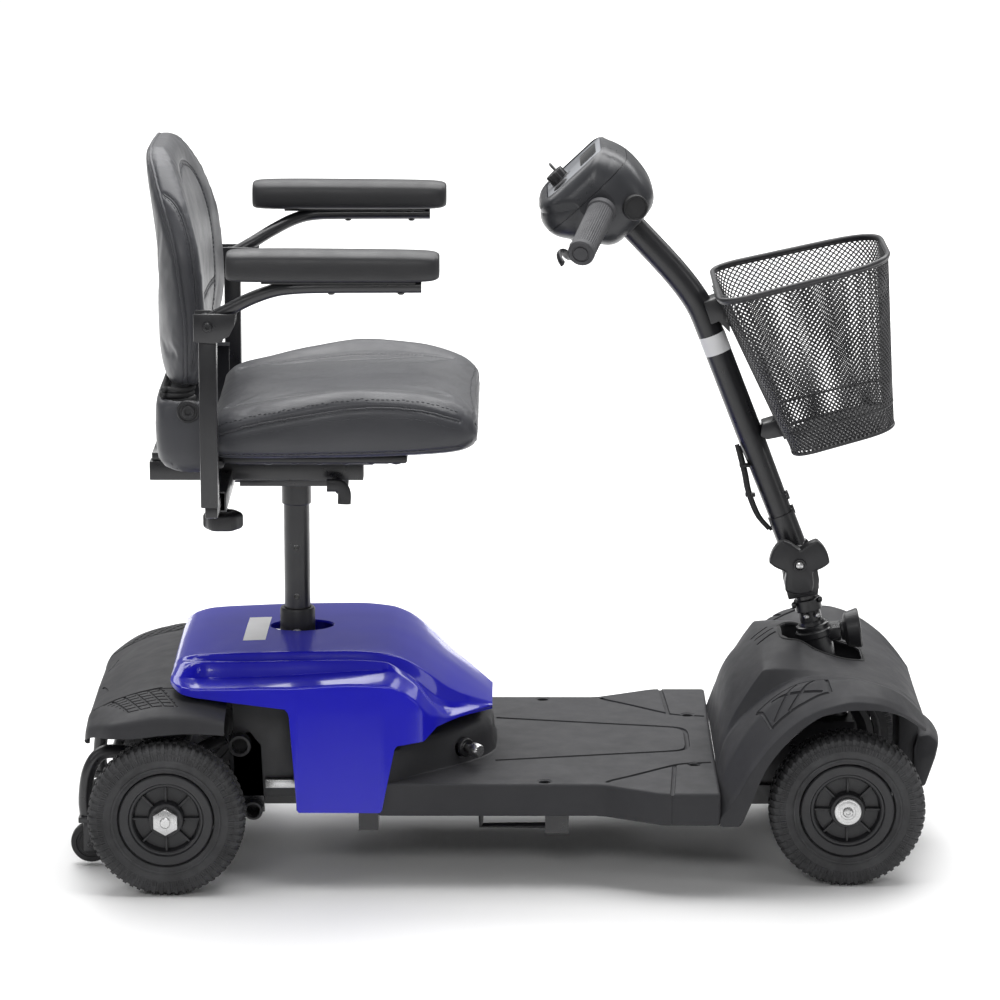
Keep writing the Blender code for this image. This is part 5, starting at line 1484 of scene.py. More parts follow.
# ================================================================ seat steel and armrests
def square_tube(low, high, wall, axis):
    """A hollow square tube along one axis, open at its ends."""
    outer = box(low, high, 0.0014)
    inner_low = [value + (0 if index == axis else wall) for index, value in enumerate(low)]
    inner_high = [value - (0 if index == axis else wall) for index, value in enumerate(high)]
    inner_low[axis] -= 0.01
    inner_high[axis] += 0.01
    return boolean(outer, box(inner_low, inner_high))


def make_seat_rails():
    """The rails and the cross tube under the seat."""
    pieces = []
    for sign in (LEFT, RIGHT):
        low, high = span(sign, 0.04, 0.062)
        pieces.append(square_tube((-0.459, low, 0.499), (-0.185, high, 0.524), 0.0022, 0))
    pieces.append(box((-0.345, -0.0405, 0.4865), (-0.205, 0.0405, 0.5), 0.001))
    pieces.append(box((-0.456, -0.058, 0.5235), (-0.424, 0.058, 0.5345), 0.001))
    pieces.append(square_tube((-0.3795, -0.191, 0.4863), (-0.3525, 0.191, 0.5127), 0.0024, 1))
    pieces.append(
        lathe(
            ((0.0195, 0.486), (0.03, 0.486), (0.03, 0.4925), (0.0195, 0.4925)),
            (POST_X, 0, 0),
            UP,
            40,
            closed=True,
        )
    )
    add_piece("seat_base_rails", join(*pieces), PAINT, "seat", "seat_base")


def arm_hinge(sign):
    """Where an armrest turns on its post."""
    return Vector((-0.372, sign * 0.25, 0.738))


def make_arm_post(side, sign):
    """The square post of an arm, the bracket on top and its two bolt heads."""
    hinge = arm_hinge(sign)
    low, high = span(sign, 0.2395, 0.2605)
    bar_low, bar_high = span(sign, 0.112, 0.257)
    parts = [
        box((-0.38, low, 0.5065), (-0.358, high, 0.724), 0.0022),
        box((-0.375, bar_low, 0.493), (-0.359, bar_high, 0.509), 0.002),
    ]
    bracket = (
        (-0.3855, 0.717), (-0.36, 0.715), (-0.342, 0.724), (-0.3345, 0.738), (-0.3335, 0.752),
        (-0.3855, 0.752),
    )
    for inner, outer in ((0.2345, 0.2376), (0.2624, 0.266)):
        y_low, y_high = span(sign, inner, outer)
        parts.append(prism(bracket, "XZ", y_low, y_high, 0.001))
    y_low, y_high = span(sign, 0.236, 0.264)
    parts.append(box((-0.3855, y_low, 0.717), (-0.38, y_high, 0.745), 0.001))
    parts.append(box((-0.383, y_low, 0.716), (-0.35, y_high, 0.724), 0.001))
    body = f"arm_{side}"
    add_piece(f"arm_post_{side}_steel", join(*parts), PAINT, body, f"arm_post_{side}")
    heads = [
        bolt(hinge + Vector((0.004, sign * 0.016, -0.002)), (0, sign, 0), 0.0062, 0.0042),
        hexagon(hinge + Vector((0.004, -sign * 0.0155, -0.002)), (0, -sign, 0), 0.0125, 0.005),
    ]
    add_piece(f"arm_bolt_{side}", join(*heads), BLACK_BOLT, body)


def make_armrest(side, sign):
    """The bent tube of an armrest with its foam pad."""
    hinge = arm_hinge(sign)
    y = hinge.y
    pad_y = sign * 0.286
    route = (
        (-0.372, y, 0.7395), (-0.358, y + sign * 0.001, 0.747), (-0.34, y + sign * 0.005, 0.757),
        (-0.316, y + sign * 0.014, 0.7705), (-0.288, y + sign * 0.028, 0.783), (-0.262, pad_y, 0.7885),
        (-0.22, pad_y, 0.79), (-0.105, pad_y, 0.7905),
    )
    arm = pipe(spline(route, 8), 0.0082, 20)
    eye = lathe(
        (
            (0.0052, -0.0095), (0.011, -0.0095), (0.0115, -0.009), (0.0115, 0.009), (0.011, 0.0095),
            (0.0052, 0.0095),
        ),
        hinge,
        ACROSS,
        28,
        closed=True,
    )
    plate_low = (-0.3, pad_y - 0.014, 0.795)
    plate_high = (-0.112, pad_y + 0.014, 0.798)
    screws = [bolt((x, pad_y, 0.783), (0, 0, -1), 0.0045, 0.003) for x in (-0.215, -0.13)]
    tube_mesh = join(arm, eye, box(plate_low, plate_high, 0.0008), *screws)
    armrest = f"armrest_{side}"
    add_piece(f"arm_tube_{side}_steel", tube_mesh, PAINT, armrest, f"arm_tube_{side}")
    rows = []
    for x, half, low, high in (
        (-0.3415, 0.013, 0.8065, 0.827), (-0.3432, 0.02, 0.803, 0.8315), (-0.3415, 0.0248, 0.8, 0.8345),
        (-0.335, 0.0282, 0.798, 0.8366), (-0.3, 0.0293, 0.7975, 0.8375), (-0.22, 0.0293, 0.7975, 0.837),
        (-0.13, 0.029, 0.7975, 0.8362), (-0.096, 0.0282, 0.798, 0.8352), (-0.086, 0.0248, 0.8, 0.8334),
        (-0.0822, 0.0195, 0.803, 0.83), (-0.0835, 0.013, 0.8065, 0.826),
    ):
        outer = (
            (0.0, low), (half * 0.8, low), (half, low + 0.006), (half * 0.985, high - 0.013),
            (half * 0.84, high - 0.003), (0.0, high),
        )
        inner = [(-y, z) for y, z in outer[-2:0:-1]]
        rows.append([(x, pad_y + y, z) for y, z in (*outer, *inner)])
    pad = add_piece(
        f"arm_pad_{side}_foam", subdivided(skin(rows), 2), PAD_FOAM, armrest, f"arm_pad_{side}", smooth=45
    )


def make_arm_knob(side, sign):
    """The knob that clamps the width of an arm."""
    knob_at = Vector((-0.36, sign * 0.145, 0))
    outline = round_outline(72, lambda angle: 0.024 + 0.0009 * math.cos(6 * angle), knob_at[:2])
    knob = prism(outline, "XY", 0.4552, 0.4762, 0.0046, 3)
    collar = lathe(
        ((0, 0.472), (0.013, 0.472), (0.0115, 0.4785), (0.0075, 0.48), (0, 0.48)), knob_at, UP, 32
    )
    arm_knob = f"arm_knob_{side}"
    add_piece(f"arm_knob_{side}_grip", join(knob, collar), KNOB_PLASTIC, arm_knob, f"arm_knob_{side}")
    stud = rod(0.004, 0.472, 0.4852, knob_at, UP, 20)
    add_piece(f"arm_knob_{side}_stud", stud, ZINC, arm_knob)


make_seat_cushion()
make_backrest()
make_seat_tray()
make_seat_skirt()
make_seat_rails()
for side, sign in SIDES:
    make_arm_post(side, sign)
    make_armrest(side, sign)
    make_arm_knob(side, sign)

# ================================================================ tiller
TUBE_ROUTE = (
    (0.3705, 0.398), (0.366, 0.41), (0.257, 0.69), (0.246, 0.716), (0.23, 0.74), (0.206, 0.769),
    (0.15, 0.828),
)
TILT_PIVOT = Vector((0.376, 0.0, 0.385))
STEER_FOOT = Vector((0.397, 0.0, 0.293))
STEER_AXIS = (TILT_PIVOT - STEER_FOOT).normalized()


def steer_point(height):
    """The point of the steering axis at some height."""
    return STEER_FOOT + STEER_AXIS * ((height - STEER_FOOT.z) / STEER_AXIS.z)


def tube_path():
    """The bent line through the middle of the tiller tube."""
    corners = [(x, 0.0, z) for x, z in TUBE_ROUTE]
    return even_path(filleted(corners, (0.01, 0.05, 0.04, 0.04, 0.04), 6, 2), 0.006)


def make_tiller_tube():
    """The bent tube with its foot, white band, screws and short cables."""
    path = tube_path()
    share = np.interp(path[:, 2], (0.4, 0.55), (0.92, 1.04))
    tube = pipe(path, 0.0165, 28, share)
    tongue = lathe(
        ((0, -0.019), (0.0135, -0.019), (0.0145, -0.018), (0.0145, 0.018), (0.0135, 0.019), (0, 0.019)),
        TILT_PIVOT,
        ACROSS,
        32,
    )
    slope = Vector((0.109, 0.0, -0.28)).normalized()
    front = Vector((0.28, 0.0, 0.109)).normalized()
    screws = []
    for height in (0.461, 0.442):
        x = 0.366 - (height - 0.41) * 0.109 / 0.28
        foot = Vector((x, 0.0, height)) + front * 0.0145
        screws.append(hexagon(foot, front, 0.013, 0.0045))
        screws.append(rod(0.0075, 0, 0.0012, foot, front, 20))
    foot_sleeve = pipe(
        [Vector((0.366, 0, 0.41)) + slope * reach for reach in (-0.034, -0.012, 0.01)], 0.0178, 28
    )
    add_piece(
        "tiller_tube_steel", join(tube, tongue, foot_sleeve, *screws), PAINT, "tiller", "tiller_tube"
    )
    band = [Vector((0.257, 0, 0.69)) + slope * reach for reach in (0.012, 0.02, 0.03, 0.0375)]
    add_piece("tiller_band", pipe(band, 0.01745, 32), LABEL, "tiller")
    cable_route = (
        (0.2955, -0.006, 0.535), (0.3005, -0.01, 0.516), (0.305, -0.012, 0.498), (0.31, -0.013, 0.474),
        (0.322, -0.012, 0.444), (0.338, -0.008, 0.424),
    )
    cable = pipe(spline(cable_route, 8), 0.0031, 12)
    second = pipe(spline([(x + 0.004, y + 0.01, z - 0.004) for x, y, z in cable_route], 8), 0.0022, 10)
    ties = []
    for x, z in ((0.302, 0.508), (0.31, 0.469)):
        ties.append(box((x - 0.003, -0.015, z - 0.0018), (x + 0.01, -0.002, z + 0.0018), 0.0008))
    add_piece(
        "tiller_cable_loom", join(cable, second, *ties), SOFT_RUBBER, "tiller", "tiller_cable", smooth=50
    )


def make_column():
    """The steering stem with its collar, clamp, fork for the tiller, and socket."""
    stem = pipe([steer_point(height) for height in (0.145, 0.24, 0.3, 0.345)], 0.0142, 28)
    collar_profile = (
        (0.0, 0.0), (0.0205, 0.0), (0.0212, 0.001), (0.0212, 0.0058), (0.02, 0.0066), (0.0175, 0.0066),
        (0.0165, 0.011), (0, 0.011),
    )
    collar = lathe(collar_profile, steer_point(0.289), STEER_AXIS, 36)
    clamp = lathe(
        ((0, 0), (0.0168, 0), (0.0176, 0.001), (0.0176, 0.015), (0.0165, 0.016), (0, 0.016)),
        steer_point(0.314),
        STEER_AXIS,
        32,
    )
    cheek = (
        (0.364, 0.333), (0.402, 0.34), (0.4035, 0.36), (0.3985, 0.387), (0.39, 0.403), (0.374, 0.406),
        (0.358, 0.396), (0.356, 0.375), (0.359, 0.352),
    )
    parts = [stem, collar, clamp]
    for low, high in ((-0.0262, -0.02), (0.02, 0.0262)):
        parts.append(prism(cheek, "XZ", low, high, 0.0014))
    parts.append(
        prism(
            ((0.364, 0.333), (0.402, 0.34), (0.403, 0.36), (0.3585, 0.352)), "XZ", -0.0225, 0.0225, 0.0014
        )
    )
    parts.append(box((0.3735, -0.006, 0.1225), (0.4365, 0.006, 0.133), 0.0012))
    parts.append(rod(0.004, 0, 0.032, (0.3785, 0, 0.093), UP, 20))
    for x, z, axis in (
        (0.3735, 0.3225, (-1, -0.2, -0.2)), (0.404, 0.33, (1, -0.2, 0.2)),
        (0.366, 0.344, (-1, -0.2, -0.2)), (0.3995, 0.347, (1, -0.2, 0.2)),
    ):
        parts.append(bolt((x, -0.01, z), axis, 0.0042, 0.0046, 16))
    add_piece("steering_column_steel", join(*parts), PAINT, "steering", "steering_column")
    silver = [
        bolt((0.3885, -0.0165, 0.3085), (-0.2, -1, 0.1), 0.0036, 0.0046, 16),
        bolt((0.402, -0.0155, 0.31), (0.3, -1, 0.1), 0.0036, 0.0046, 16),
    ]
    add_piece("steering_column_screws", join(*silver), ZINC, "steering")
    socket_profile = (
        (0.016, -0.12), (0.0215, -0.12), (0.0215, -0.012), (0.0235, -0.01), (0.0235, -0.003),
        (0.0222, -0.0016), (0.016, -0.0016),
    )
    socket = lathe(socket_profile, steer_point(0.29), STEER_AXIS, 40, closed=True)
    add_piece("steering_socket_ring", socket, PAINT, "chassis")


def make_tilt_knob():
    """The three-lobed knob that clamps the tiller, on its bolt."""
    x, z = TILT_PIVOT.x, TILT_PIVOT.z

    def lobes(angle):
        swing = 0.5 + 0.5 * math.cos(3 * (angle + math.pi / 2))
        return 0.02 + 0.019 * min(1.0, swing * 1.65) ** 0.9

    plate = prism(round_outline(96, lobes, (x, z)), "XZ", -0.051, -0.031, 0.003, 3)
    boss = lathe(((0, 0), (0.0135, 0), (0.013, 0.012), (0, 0.012)), (x, -0.0275, z), (0, -1, 0), 28)
    cup = lathe(
        ((0.0052, 0), (0.0088, 0), (0.008, 0.003), (0.006, 0.003)), (x, -0.0508, z), (0, -1, 0), 28,
        closed=True,
    )
    add_piece("tilt_knob_grip", join(plate, boss, cup), KNOB_PLASTIC, "tilt_knob", "tiller_tilt_knob")
    stud = lathe(
        ((0, -0.05), (0.0042, -0.05), (0.0048, -0.053), (0.003, -0.0542), (0, -0.0542)),
        (x, 0, z),
        ACROSS,
        20,
    )
    nut = hexagon((x, 0.0268, z), ACROSS, 0.017, 0.006)
    add_piece("tilt_knob_bolt", join(stud, nut), ZINC, "tilt_knob")


def make_lock_knob():
    """The round knob on the front of the column."""
    foot = Vector((0.4345, 0.0, 0.2862))
    axis = Vector((1.0, 0.0, 0.155)).normalized()
    profile = (
        (0.0, -0.0004), (0.012, -0.0004), (0.013, 0.0006), (0.0138, 0.003), (0.019, 0.005),
        (0.0226, 0.0075), (0.024, 0.013), (0.0255, 0.02), (0.0262, 0.0228), (0.0245, 0.0248),
        (0.0205, 0.0252), (0.018, 0.0232), (0.0, 0.0226),
    )
    knob = lathe(profile, foot, axis, 40)
    add_piece("lock_knob_grip", knob, KNOB_PLASTIC, "steering_lock_knob", "steering_lock_knob", smooth=40)
    neck = hexagon(foot - axis * 0.018, axis, 0.027, 0.0165, 0.001)
    add_piece("lock_knob_neck", neck, PAINT, "chassis")


# ================================================================ control head
HEAD_CORNER = Vector((0.043, 0.0, 0.854))
# how far along the console its controls sit, and how far the key is from the dial
CONTROL_ROW = 0.034
KEY_Y = 0.04
HEAD_ALONG = Vector((0.079, 0.0, 0.074)).normalized()
HEAD_OUT = Vector((-HEAD_ALONG.z, 0.0, HEAD_ALONG.x))
HEAD_TURN = Matrix.Translation(HEAD_CORNER) @ Matrix(
    ((HEAD_ALONG.x, 0, HEAD_OUT.x, 0), (0, 1, 0, 0), (HEAD_ALONG.z, 0, HEAD_OUT.z, 0), (0, 0, 0, 1))
)


def head_point(along, across, out):
    """A point given in the console's own axes."""
    return HEAD_TURN @ Vector((along, across, out))


def round_plate(low, high, corner, bevel):
    """A plate with round corners, in the console's own axes."""
    (x0, y0, z0), (x1, y1, z1) = low, high
    middle = (x0 + x1) / 2
    loop = [(middle, y0), (x1, y0), (x1, y1), (x0, y1), (x0, y0), (middle, y0)]
    outline = filleted([(x, y, 0) for x, y in loop], (corner,) * 4, 8)[:-1, :2]
    return placed(prism(outline, "XY", z0, z1, bevel, 2), HEAD_TURN)


def head_shape(scale=1.0):
    """The rounded pod, as sections across the scooter."""
    corners = (
        (0.122, 0.928), (0.154, 0.913), (0.179, 0.884), (0.188, 0.858), (0.172, 0.833), (0.136, 0.7995),
        (0.1, 0.805), (0.056, 0.813), (0.04, 0.832), (0.043, 0.854),
    )
    radii = (0.014, 0.02, 0.02, 0.02, 0.02, 0.014, 0.02, 0.014, 0.012, 0.008)
    middle = np.array((0.112, 0.0, 0.862))
    outwards = np.array(HEAD_OUT)
    start = (0.0825, 0.0, 0.891)
    loop = [start, *[(x, 0.0, z) for x, z in corners], start]
    ring = filleted(loop, radii, 5, 3)[:-1]
    rows = []
    for y in np.sin(np.linspace(-math.pi / 2, math.pi / 2, 41)) * 0.093:
        size = scale * (1 - min(1.0, abs(y) / 0.0932) ** 5.0) ** 0.4 if abs(y) < 0.0929 else 0.3 * scale
        size = max(size, 0.3 * scale)
        section = middle + (ring - middle) * size
        level = (1 - min(0.999, abs(y) / 0.0932) ** 10.0) ** 0.3 * scale
        for index, spot in enumerate(ring):
            out = (spot - middle) @ outwards
            if out > 0.036:
                section[index] += outwards * (out * level + 0.0035 * level - out * size)
        section[:, 1] = y * scale
        rows.append(section)
    return skin(rows)


def make_head_pod():
    """The rounded pod with its recess and seam, and the plugs and cuffs on its sides."""
    pod = head_shape()
    recess = round_plate((0.0105, -0.0695, -0.0022), (0.1035, 0.0695, 0.03), 0.02, 0.0)
    pod = boolean(pod, recess)
    slab = placed(box((-0.08, -0.12, -0.0305), (0.2, 0.12, -0.0292)), HEAD_TURN)
    seam = boolean(slab, head_shape(0.985))
    pod = boolean(pod, seam)
    add_piece("head_pod", pod, HEAD_PLASTIC, "tiller", "control_case", smooth=40)
    discs = []
    for sign in (LEFT, RIGHT):
        profile = (
            (0, -0.03), (0.0165, -0.03), (0.0165, -0.0012), (0.0158, 0.0), (0.014, 0.0004),
            (0.0132, -0.001), (0.006, -0.0004), (0, 0.0),
        )
        discs.append(lathe(profile, (0.161, sign * 0.0905, 0.856), (0.3, sign * 1.0, -0.05), 36))
        cuff = ((0.0, -0.01), (0.0185, -0.01), (0.0188, 0.0), (0.018, 0.0035), (0, 0.0035))
        axis = Vector((-0.028, sign * 0.1095, -0.0375))
        discs.append(lathe(cuff, (0.1235, sign * 0.08, 0.8605), axis, 32))
    add_piece("head_side_plugs", join(*discs), SOFT_RUBBER, "tiller", smooth=40)


def make_console():
    """The bright panel with its window, the ring of marks round the dial, and the button."""
    panel = round_plate((0.0115, -0.0685, -0.0024), (0.1025, 0.0685, 0.0012), 0.019, 0.0006)
    well = rod(0.0044, -0.01, 0.01, (0, 0, 0), HEAD_OUT, 24)
    for y in (0.0, KEY_Y):
        hole = well.copy()
        hole.transform(Matrix.Translation(head_point(CONTROL_ROW, y, 0.0)))
        panel = boolean(panel, hole)
    add_piece("head_panel", panel, SILVER, "tiller", "control_panel")
    screen = round_plate((0.068, -0.042, 0.0008), (0.095, 0.042, 0.0018), 0.005, 0.0003)
    add_piece("head_screen", screen, SCREEN, "tiller")
    marks = []
    for step in range(11):
        angle = math.radians(-135 + 27 * step)
        for reach in (0.015, 0.0165):
            spot = head_point(CONTROL_ROW + reach * math.cos(angle), reach * math.sin(angle), 0.001)
            marks.append(rod(0.0008, 0, 0.0004, spot, HEAD_OUT, 8))
    button = lathe(
        ((0, 0.0006), (0.0085, 0.0006), (0.008, 0.0036), (0, 0.004)), head_point(CONTROL_ROW, -0.042, 0),
        HEAD_OUT, 28,
    )
    bezel = lathe(
        ((0.0092, 0.0008), (0.0112, 0.0008), (0.0108, 0.0026), (0.0094, 0.0026)),
        head_point(CONTROL_ROW, -0.042, 0),
        HEAD_OUT,
        32,
        closed=True,
    )
    add_piece("head_controls", join(button, bezel, *marks), KNOB_PLASTIC, "tiller")


def make_dial_and_key():
    """The knurled speed dial and the ignition key."""
    def knurls(angle):
        wave = math.cos(9 * angle)
        return 0.0119 + 0.0006 * math.copysign(min(1.0, 1.8 * abs(wave)), wave)

    dial = prism(round_outline(144, knurls), "XY", 0.0018, 0.0148, 0.0007, 2)
    skirt = lathe(((0, 0.0014), (0.0132, 0.0014), (0.0128, 0.003), (0, 0.003)), ORIGIN, UP, 36)
    pointer = box((0.002, -0.0008, 0.014), (0.011, 0.0008, 0.0154), 0.0003)
    stem = rod(0.0034, -0.0015, 0.003, ORIGIN, UP, 16)
    turn = HEAD_TURN @ Matrix.Translation((CONTROL_ROW, 0, 0))
    add_piece(
        "speed_dial_knob", placed(join(dial, skirt, pointer, stem), turn), KNOB_PLASTIC, "speed_dial",
        "speed_dial",
    )
    barrel = rod(0.0033, -0.0015, 0.006, ORIGIN, UP, 20)
    bow_outline = filleted(
        [
            (0, -0.008, 0), (0.009, -0.008, 0), (0.009, 0.008, 0), (-0.009, 0.008, 0),
            (-0.009, -0.008, 0), (0, -0.008, 0),
        ],
        (0.005,) * 4,
        5,
    )[:-1, :2]
    bow = prism(bow_outline, "YZ", -0.0011, 0.0011, 0.0005)
    bow = placed(bow, Matrix.Translation((0, 0, 0.014)))
    turn = HEAD_TURN @ Matrix.Translation((CONTROL_ROW, KEY_Y, 0))
    add_piece(
        "ignition_key_bow", placed(join(barrel, bow), turn), TRIM_PLASTIC, "ignition_key", "ignition_key"
    )


def make_grips():
    """A ribbed rubber grip on each side."""
    for side, sign in SIDES:
        outer = Vector((0.09, sign * 0.208, 0.8172))
        inner = Vector((0.118, sign * 0.0985, 0.8547))
        length = (inner - outer).length
        axis = (inner - outer).normalized()
        stations = (
            (0.0, 0.006, 0.0), (0.0, 0.0085, 0.0), (0.0016, 0.009, 0.0), (0.0016, 0.0108, 0.0),
            (0.0, 0.0112, 0.0), (0.0, 0.015, 0.0), (0.0016, 0.0168, 0.0), (0.008, 0.017, 0.0),
            (0.0095, 0.0164, 0.0), (0.0105, 0.0162, 1.0), (length - 0.012, 0.0168, 1.0),
            (length - 0.0105, 0.0166, 0.0), (length - 0.009, 0.0185, 0.0), (length - 0.0015, 0.0188, 0.0),
            (length, 0.0176, 0.0),
        )
        sides = 144
        angles = np.arange(sides) * 2 * math.pi / sides
        square = np.clip(2.5 * np.cos(36 * angles), -1, 1)
        rows = []
        for reach, radius, ribbed in stations:
            size = radius + ribbed * 0.00045 * square
            rows.append(
                np.stack([size * np.cos(angles), size * np.sin(angles), np.full(sides, reach)], axis=1)
            )
        grip = skin(rows)
        grip.transform(Matrix.Translation(outer) @ turned_to(axis))
        add_piece(f"grip_{side}_rubber", grip, GRIP, "tiller", f"grip_{side}", smooth=30)


def make_throttle():
    """The paddle below the grips, with its boss."""
    half = (
        (0.088, 0.0, 0.7945), (0.087, 0.06, 0.792), (0.078, 0.1, 0.7955), (0.07, 0.122, 0.805),
        (0.064, 0.134, 0.806), (0.065, 0.142, 0.8), (0.0685, 0.148, 0.795),
    )
    route = [*flip(half[:0:-1]), *half]
    paddle = pipe(spline(route, 6), 0.005, 14, None, 0.55)
    boss = lathe(
        ((0, -0.004), (0.0095, -0.004), (0.0095, 0.004), (0.0085, 0.005), (0, 0.005)),
        (0.088, 0, 0.7965),
        HEAD_OUT,
        28,
    )
    add_piece(
        "throttle_paddle", join(paddle, boss), KNOB_PLASTIC, "throttle_lever", "throttle_lever", smooth=45
    )


# ================================================================ basket
def basket_ring(rear, front, half_rear, half_front, rear_corner, front_corner, count):
    """Evenly spaced points round the basket at one level, from the middle of its rear side."""
    loop = [
        (rear[0], 0.0, 0.0), (rear[0], -half_rear, 0.0), (front[0], -half_front, 0.0),
        (front[0], half_front, 0.0), (rear[0], half_rear, 0.0), (rear[0], 0.0, 0.0),
    ]
    line = filleted(loop, (rear_corner, front_corner, front_corner, rear_corner), 10)
    ring = resampled(line, count)
    slope = (front[1] - rear[1]) / (front[0] - rear[0])
    ring[:, 2] = rear[1] + (ring[:, 0] - rear[0]) * slope
    return ring


BASKET_FLOOR = ((0.364, 0.5385), (0.493, 0.573), 0.103, 0.092, 0.032, 0.042)
BASKET_RIM = ((0.266, 0.742), (0.4815, 0.793), 0.139, 0.118, 0.042, 0.068)


def make_basket():
    """The woven wire basket, its rim and the carrier behind it."""
    cells = 112
    lean = 34
    count = cells * 4
    low = basket_ring(*BASKET_FLOOR, count)
    high = basket_ring(*BASKET_RIM, count)

    def wall(turn, rise):
        place = (turn % 1.0) * count
        index = int(place)
        share = place - index
        bottom = low[index] * (1 - share) + low[index + 1] * share
        top = high[index] * (1 - share) + high[index + 1] * share
        return bottom * (1 - rise) + top * rise

    wires = []
    for way in (1, -1):
        for cell in range(cells):
            path = []
            for step in range(lean + 1):
                rise = step / lean
                path.append(wall((cell + way * rise * lean * 0.95) / cells, rise))
            wires.append(pipe(path, 0.00105, 4))
    floor_wires = 15
    rear, front, half_rear, half_front = BASKET_FLOOR[:4]
    slope = (front[1] - rear[1]) / (front[0] - rear[0])
    for step in range(floor_wires + 1):
        x = rear[0] + 0.004 + (front[0] - rear[0] - 0.008) * step / floor_wires
        half = half_rear + (half_front - half_rear) * step / floor_wires
        edge = min(x - rear[0], front[0] - x)
        half -= 0.034 * max(0.0, 1 - edge / 0.034) ** 2
        z = rear[1] + (x - rear[0]) * slope
        wires.append(pipe([(x, -half, z), (x, 0, z), (x, half, z)], 0.0009, 4))
    for y in np.linspace(-0.088, 0.088, 22):
        trim = 0.034 * max(0.0, (abs(y) - 0.06) / 0.034) ** 2
        x0, x1 = rear[0] + trim, front[0] - trim
        ends = [(x, y, rear[1] + (x - rear[0]) * slope) for x in (x0, (x0 + x1) / 2, x1)]
        wires.append(pipe(ends, 0.0009, 4))
    add_piece("basket_mesh", join(*wires), WIRE_PAINT, "tiller", "basket", smooth=60)
    rods = []
    for rise, radius in ((1.0, 0.0034), (0.985, 0.0022), (0.135, 0.0016), (0.0, 0.0024)):
        path = [wall(step / 120, rise) for step in range(121)]
        rods.append(pipe(path, radius, 12))
    add_piece("basket_rim", join(*rods), WIRE_PAINT, "tiller", smooth=60)

    def on_rear(rise, y=0.0):
        spot = wall(0.0, rise)
        return Vector((spot[0], y, spot[2]))

    straps = []
    for y in (-0.0155, 0.0155):
        line = [on_rear(rise, y) - Vector((0.0022, 0, 0)) for rise in (0.03, 0.3, 0.7, 0.99)]
        straps.append(pipe(line, 0.0034, 10, None, 0.6))
    top = on_rear(0.82)
    clamp = (
        (0.25, 0.723), (0.266, 0.729), (top.x - 0.001, top.z + 0.02), (top.x + 0.001, top.z - 0.022),
        (0.27, 0.698), (0.26, 0.694),
    )
    straps.append(prism(clamp, "XZ", -0.0195, 0.0195, 0.0016))
    foot = on_rear(0.07)
    pad = (
        (0.327, 0.564), (foot.x - 0.004, 0.572), (foot.x + 0.001, 0.548), (0.334, 0.543), (0.325, 0.548)
    )
    straps.append(prism(pad, "XZ", -0.017, 0.017, 0.0016))
    straps.append(
        box((top.x - 0.006, -0.03, top.z - 0.006), (top.x - 0.001, 0.03, top.z + 0.006), 0.0012)
    )
    add_piece("basket_carrier", join(*straps), PAINT, "tiller", "basket_bracket")


# ================================================================ chassis details
ROLLER_X, ROLLER_Z = -0.5385, 0.0302


def make_axle_ends():
    """The nuts of the rear axles and the caps of the front ones."""
    for side, sign in SIDES:
        out = (0, sign, 0)
        foot = (REAR_AXLE_X, sign * 0.2466, AXLE_Z)
        washer = rod(0.015, -0.0006, 0.0012, foot, out, 36)
        nut = hexagon(foot, out, 0.035, 0.008, 0.0009)
        cap = lathe(
            ((0, 0.007), (0.0068, 0.007), (0.0068, 0.0112), (0.0056, 0.0124), (0, 0.0124)), foot, out, 36
        )
        shaft = rod(0.0081, -0.215, 0.0, foot, out, 24)
        add_piece(
            f"rear_axle_{side}_nut", join(washer, nut, cap, shaft), ZINC, f"rear_wheel_{side}",
            f"rear_axle_{side}", smooth=30,
        )
        foot = (FRONT_AXLE_X, sign * 0.202, AXLE_Z)
        cap = lathe(
            (
                (0, -0.0006), (0.0172, -0.0006), (0.0176, 0.0004), (0.0176, 0.0022), (0.0168, 0.0034),
                (0.012, 0.0046), (0.01, 0.0046), (0.0092, 0.0034), (0, 0.0034),
            ),
            foot,
            out,
            40,
        )
        head = bolt((foot[0], foot[1] + sign * 0.003, foot[2]), out, 0.0068, 0.004)
        add_piece(f"front_axle_{side}_cap", join(cap, head), ZINC, f"knuckle_{side}", smooth=30)


